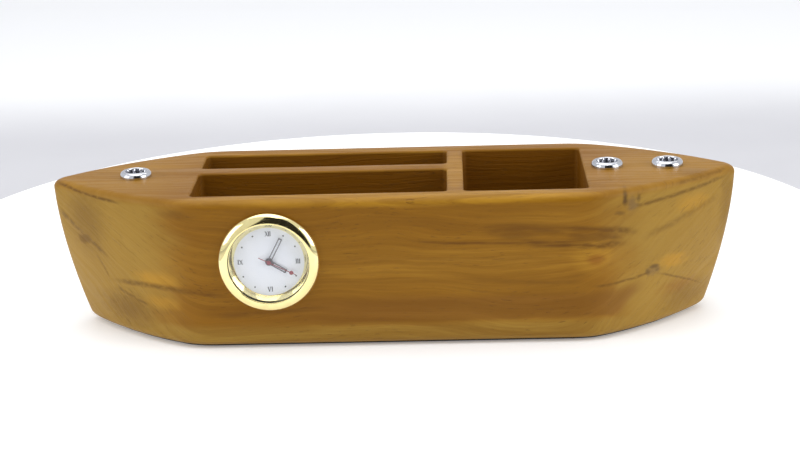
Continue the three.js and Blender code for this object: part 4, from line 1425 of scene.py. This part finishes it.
cup = washer("cup", CASE_INNER_RADIUS, CASE_RADIUS, CASE_BACK_TOP + 0.03, 1.1, 0.12)
clock_piece("spun_case", cup, "insert_clock", "polished_gold", gold, "case_cup")
clock_piece("grip_band", band_mesh(), "insert_clock", "black_rubber", black_rubber, "friction_ring")
clock_piece("back_cover", back_mesh(), "insert_clock", "black_plastic", black_plastic, "case_back")
clock_piece("cell_hatch", door_mesh(), "cell_cover", "black_plastic", black_plastic, "cell_door")
clock_piece("fluted_knob", knob_mesh(), "hand_setting", "black_plastic", black_plastic, "setting_knob")

# %% [markdown]
# ## Finishes for the movement
# The movement inside keeps its CAD shapes, which are detailed enough. Each node only trades its
# plain packed colour for a material that holds up when the parts are looked at one by one: brass
# wheels, steel screws and laminations, a lacquered board, and copper wire wound in fine turns.

# %% Movement materials
def board_material():
    """Green solder mask over copper tracks that show through as paler lines."""
    material, tree, shader, position = new_material("green_board")
    inputs = {"Vector": position, "Scale": 420.0, "Distortion": 3.0}
    across = put(tree, "TexWave", inputs, bands_direction="X").outputs["Fac"]
    tracks = rescaled(tree, across, 0.45, 0.6)
    colour = blended(tree, tracks, (0.010, 0.080, 0.036, 1), (0.030, 0.150, 0.070, 1))
    wire(
        tree,
        shader,
        Base_Color=colour,
        Roughness=rescaled(tree, noise(tree, position, 900.0), 0.3, 0.7, 0.3, 0.45),
        Normal=bumped(tree, tracks, 0.00003),
    )
    return material


def wire_material():
    """Enamelled copper wire in close turns round the coil's axis."""
    material, tree, shader, position = new_material("copper_windings")
    inputs = {"Vector": position, "Scale": 2600.0, "Distortion": 0.4}
    turns = put(tree, "TexWave", inputs, bands_direction="Z").outputs["Fac"]
    colour = blended(tree, turns, (0.30, 0.090, 0.030, 1), (0.72, 0.30, 0.12, 1))
    wire(
        tree,
        shader,
        Base_Color=colour,
        Metallic=0.9,
        Roughness=rescaled(tree, noise(tree, position, 1200.0), 0.3, 0.7, 0.25, 0.4),
        Normal=bumped(tree, turns, 0.00005),
    )
    return material


def magnet_material():
    """Sintered ferrite: dark, granular and a little sparkly."""
    material, tree, shader, position = new_material("sintered_magnet")
    grain = noise(tree, position, 6000.0, 4.0, 0.7)
    colour = blended(tree, grain, (0.06, 0.06, 0.065, 1), (0.20, 0.20, 0.21, 1))
    wire(
        tree,
        shader,
        Base_Color=colour,
        Metallic=0.7,
        Roughness=rescaled(tree, grain, 0.3, 0.7, 0.4, 0.7),
        Normal=bumped(tree, grain, 0.00003),
    )
    return material


NODE_FINISHES = {
    white_plastic: (
        "movement_holder",
        "main_plate",
        "rotor_pinion",
        "intermediate_wheel",
        "seconds_wheel",
        "third_wheel",
        "minute_wheel",
    ),
    black_plastic: ("train_bridge", "control_chip"),
    steel: (
        "plate_screw_1",
        "plate_screw_2",
        "plate_screw_3",
        "quartz_can",
        "stator_plate",
        "coil_core",
        "button_cell",
        "setting_stem",
    ),
    brass: ("cell_contact_plus", "cell_contact_minus", "centre_wheel", "cannon_pinion", "hour_wheel"),
    board_material(): ("circuit_board",),
    wire_material(): ("coil_winding",),
    magnet_material(): ("rotor_magnet",),
}
for finish, names in NODE_FINISHES.items():
    for name in names:
        node_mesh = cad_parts[name].data
        node_mesh.materials.clear()
        node_mesh.materials.append(finish)
shown = sorted(name for name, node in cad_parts.items() if not node.hide_render)
finished = {name for names in NODE_FINISHES.values() for name in names}
print(len(shown), "CAD nodes shown,", len(set(shown) - finished), "without a finish of their own")

# %% [markdown]
# ## The studio
# The tidy stands on a round white board in front of a pale sweep. The board is bright enough to read
# as paper white, and it glows a little, as a light table does, which keeps the shadow under the hull
# tight and lights the hull from below. One large soft box hangs above, and two
# weaker panels light the bows from the sides. A black card stands behind the camera, out of its
# sight: polished metal only looks like metal when it has something dark as well as light to show,
# and without the card the oiled front would look milky.

# %% Board and sweep
BOARD_RADIUS = 200.5
BOARD_MIDDLE = (-7.5, 83.8)
BOARD_THICK = 12
BOARD_GLOW = 0.18
SWEEP_FLOOR_Z = -40
SWEEP_REACH = 2600
SWEEP_ROUNDING = 900
# Painted shade on the sweep: its colour goes from grey behind the board to white further back.
PAINTED_SHADE_Y = 430
PAPER_WHITE_Y = 620
PAINTED_SHADE_GREY = (0.61, 0.605, 0.63, 1)
PAPER_WHITE = (0.92, 0.92, 0.93, 1)


def paper_material(name, colour, roughness):
    """Matt card with a faint mottle."""
    material, tree, shader, position = new_material(name)
    mottle = rescaled(tree, noise(tree, position, 60.0, 4.0), 0.3, 0.7, 0.985, 1.0)
    tone = put(tree, "VectorMath", {0: colour, 3: mottle}, operation="SCALE").outputs[0]
    wire(tree, shader, Base_Color=tone, Roughness=roughness)
    return material


def stage_piece(name, mesh, material):
    mesh.transform(Matrix.Scale(MM, 4))
    mesh.materials.append(material)
    obj = linked(name, mesh)
    return obj


def painted_shade_paper(name):
    """Backdrop paper with painted shade: its colour is greyer where it leaves the board, for the shade
    behind the board, and whiter as it rises.
    """
    material, tree, shader, position = new_material(name)
    depth = put(tree, "SeparateXYZ", {0: position}).outputs["Y"]
    share = rescaled(tree, depth, PAINTED_SHADE_Y * MM, PAPER_WHITE_Y * MM)
    mottle = rescaled(tree, noise(tree, position, 14.0, 4.0), 0.3, 0.7, 0.0, 0.05)
    tone = blended(tree, maths(tree, "ADD", share, mottle), PAINTED_SHADE_GREY, PAPER_WHITE)
    wire(tree, shader, Base_Color=tone, Roughness=0.85, Specular_IOR_Level=0.1)
    return material


board_outline = quarter(BOARD_MIDDLE, (BOARD_RADIUS, BOARD_RADIUS), 0, 180, 96)
board_outline += [(BOARD_MIDDLE[0] - BOARD_RADIUS, -900), (BOARD_MIDDLE[0] + BOARD_RADIUS, -900)]
board_mesh = stacked("board", [[(x, y, z) for x, y in board_outline] for z in (-BOARD_THICK, 0)])
board_card = paper_material("board_card", (0.93, 0.93, 0.93), 0.6)
board_shader = board_card.node_tree.nodes["Principled BSDF"]
wire(board_card.node_tree, board_shader, Emission_Color=(1, 1, 1, 1), Emission_Strength=BOARD_GLOW)
stage_piece("board", board_mesh, board_card)

bend_middle = (SWEEP_REACH - SWEEP_ROUNDING, SWEEP_FLOOR_Z + SWEEP_ROUNDING)
sweep_profile = [(-SWEEP_REACH, SWEEP_FLOOR_Z)]
sweep_profile += quarter(bend_middle, (SWEEP_ROUNDING, SWEEP_ROUNDING), -90, 0, 16)
sweep_profile += [(SWEEP_REACH, SWEEP_REACH)]
sweep_points = [(x, y, z) for y, z in sweep_profile for x in (-SWEEP_REACH, SWEEP_REACH)]
sweep_faces = [(2 * i, 2 * i + 1, 2 * i + 3, 2 * i + 2) for i in range(len(sweep_profile) - 1)]
sweep_mesh = bpy.data.meshes.new("sweep")
sweep_mesh.from_pydata(sweep_points, [], sweep_faces)
smooth(sweep_mesh, 80)
# The sweep's paper carries painted shade behind the board.
stage_piece("sweep", sweep_mesh, painted_shade_paper("sweep_paper_painted_shade"))

# %% Black card
CARD_Y = -900
CARD_X = (-250, 760)
CARD_TOP = 1500
CARD_THICK = 4
card_outline = [(CARD_X[0], 0), (CARD_X[1], 0), (CARD_X[1], CARD_TOP), (CARD_X[0], CARD_TOP)]
card_corners = [(x, CARD_Y + depth, z) for depth in (0, -CARD_THICK) for x, z in card_outline]
card_faces = [(0, 1, 2, 3), (7, 6, 5, 4)]
card_faces += [(i, (i + 1) % 4, (i + 1) % 4 + 4, i + 4) for i in range(4)]
black_paper = paper_material("card_black", (0.006, 0.005, 0.005), 0.9)
card = stage_piece("black_card", mesh_from("card", card_corners, card_faces), black_paper)
card.visible_camera = False

# %% Lights
def soft_box(name, place, target, width, height, watts, colour=(1, 1, 1)):
    """A rectangular area light at place, facing target; lengths in millimetres."""
    data = bpy.data.lights.new(name, "AREA")
    data.shape = "RECTANGLE"
    data.size = width * MM
    data.size_y = height * MM
    data.energy = watts
    data.color = colour
    lamp = bpy.data.objects.new(name, data)
    bpy.context.scene.collection.objects.link(lamp)
    place = Vector(place) * MM
    facing = (Vector(target) * MM - place).to_track_quat("-Z", "Y")
    lamp.matrix_world = Matrix.Translation(place) @ facing.to_matrix().to_4x4()
    return lamp


soft_box("overhead", (-60, -60, 900), (0, 20, 0), 900, 700, 3.2)
soft_box("side_left", (-800, -330, 380), (0, 0, 30), 500, 500, 2.0)
soft_box("side_right", (800, -330, 380), (0, 0, 30), 500, 500, 3.0)
soft_box("sweep_wash", (0, 500, 900), (0, 800, 0), 1400, 300, 2.0)

world = bpy.data.worlds.new("studio")
bpy.context.scene.world = world
world.use_nodes = True
world.node_tree.nodes["Background"].inputs["Color"].default_value = (0.95, 0.97, 1.0, 1)
world.node_tree.nodes["Background"].inputs["Strength"].default_value = 0.82
bpy.context.scene.view_settings.view_transform = "Standard"
bpy.context.scene.view_settings.look = "None"
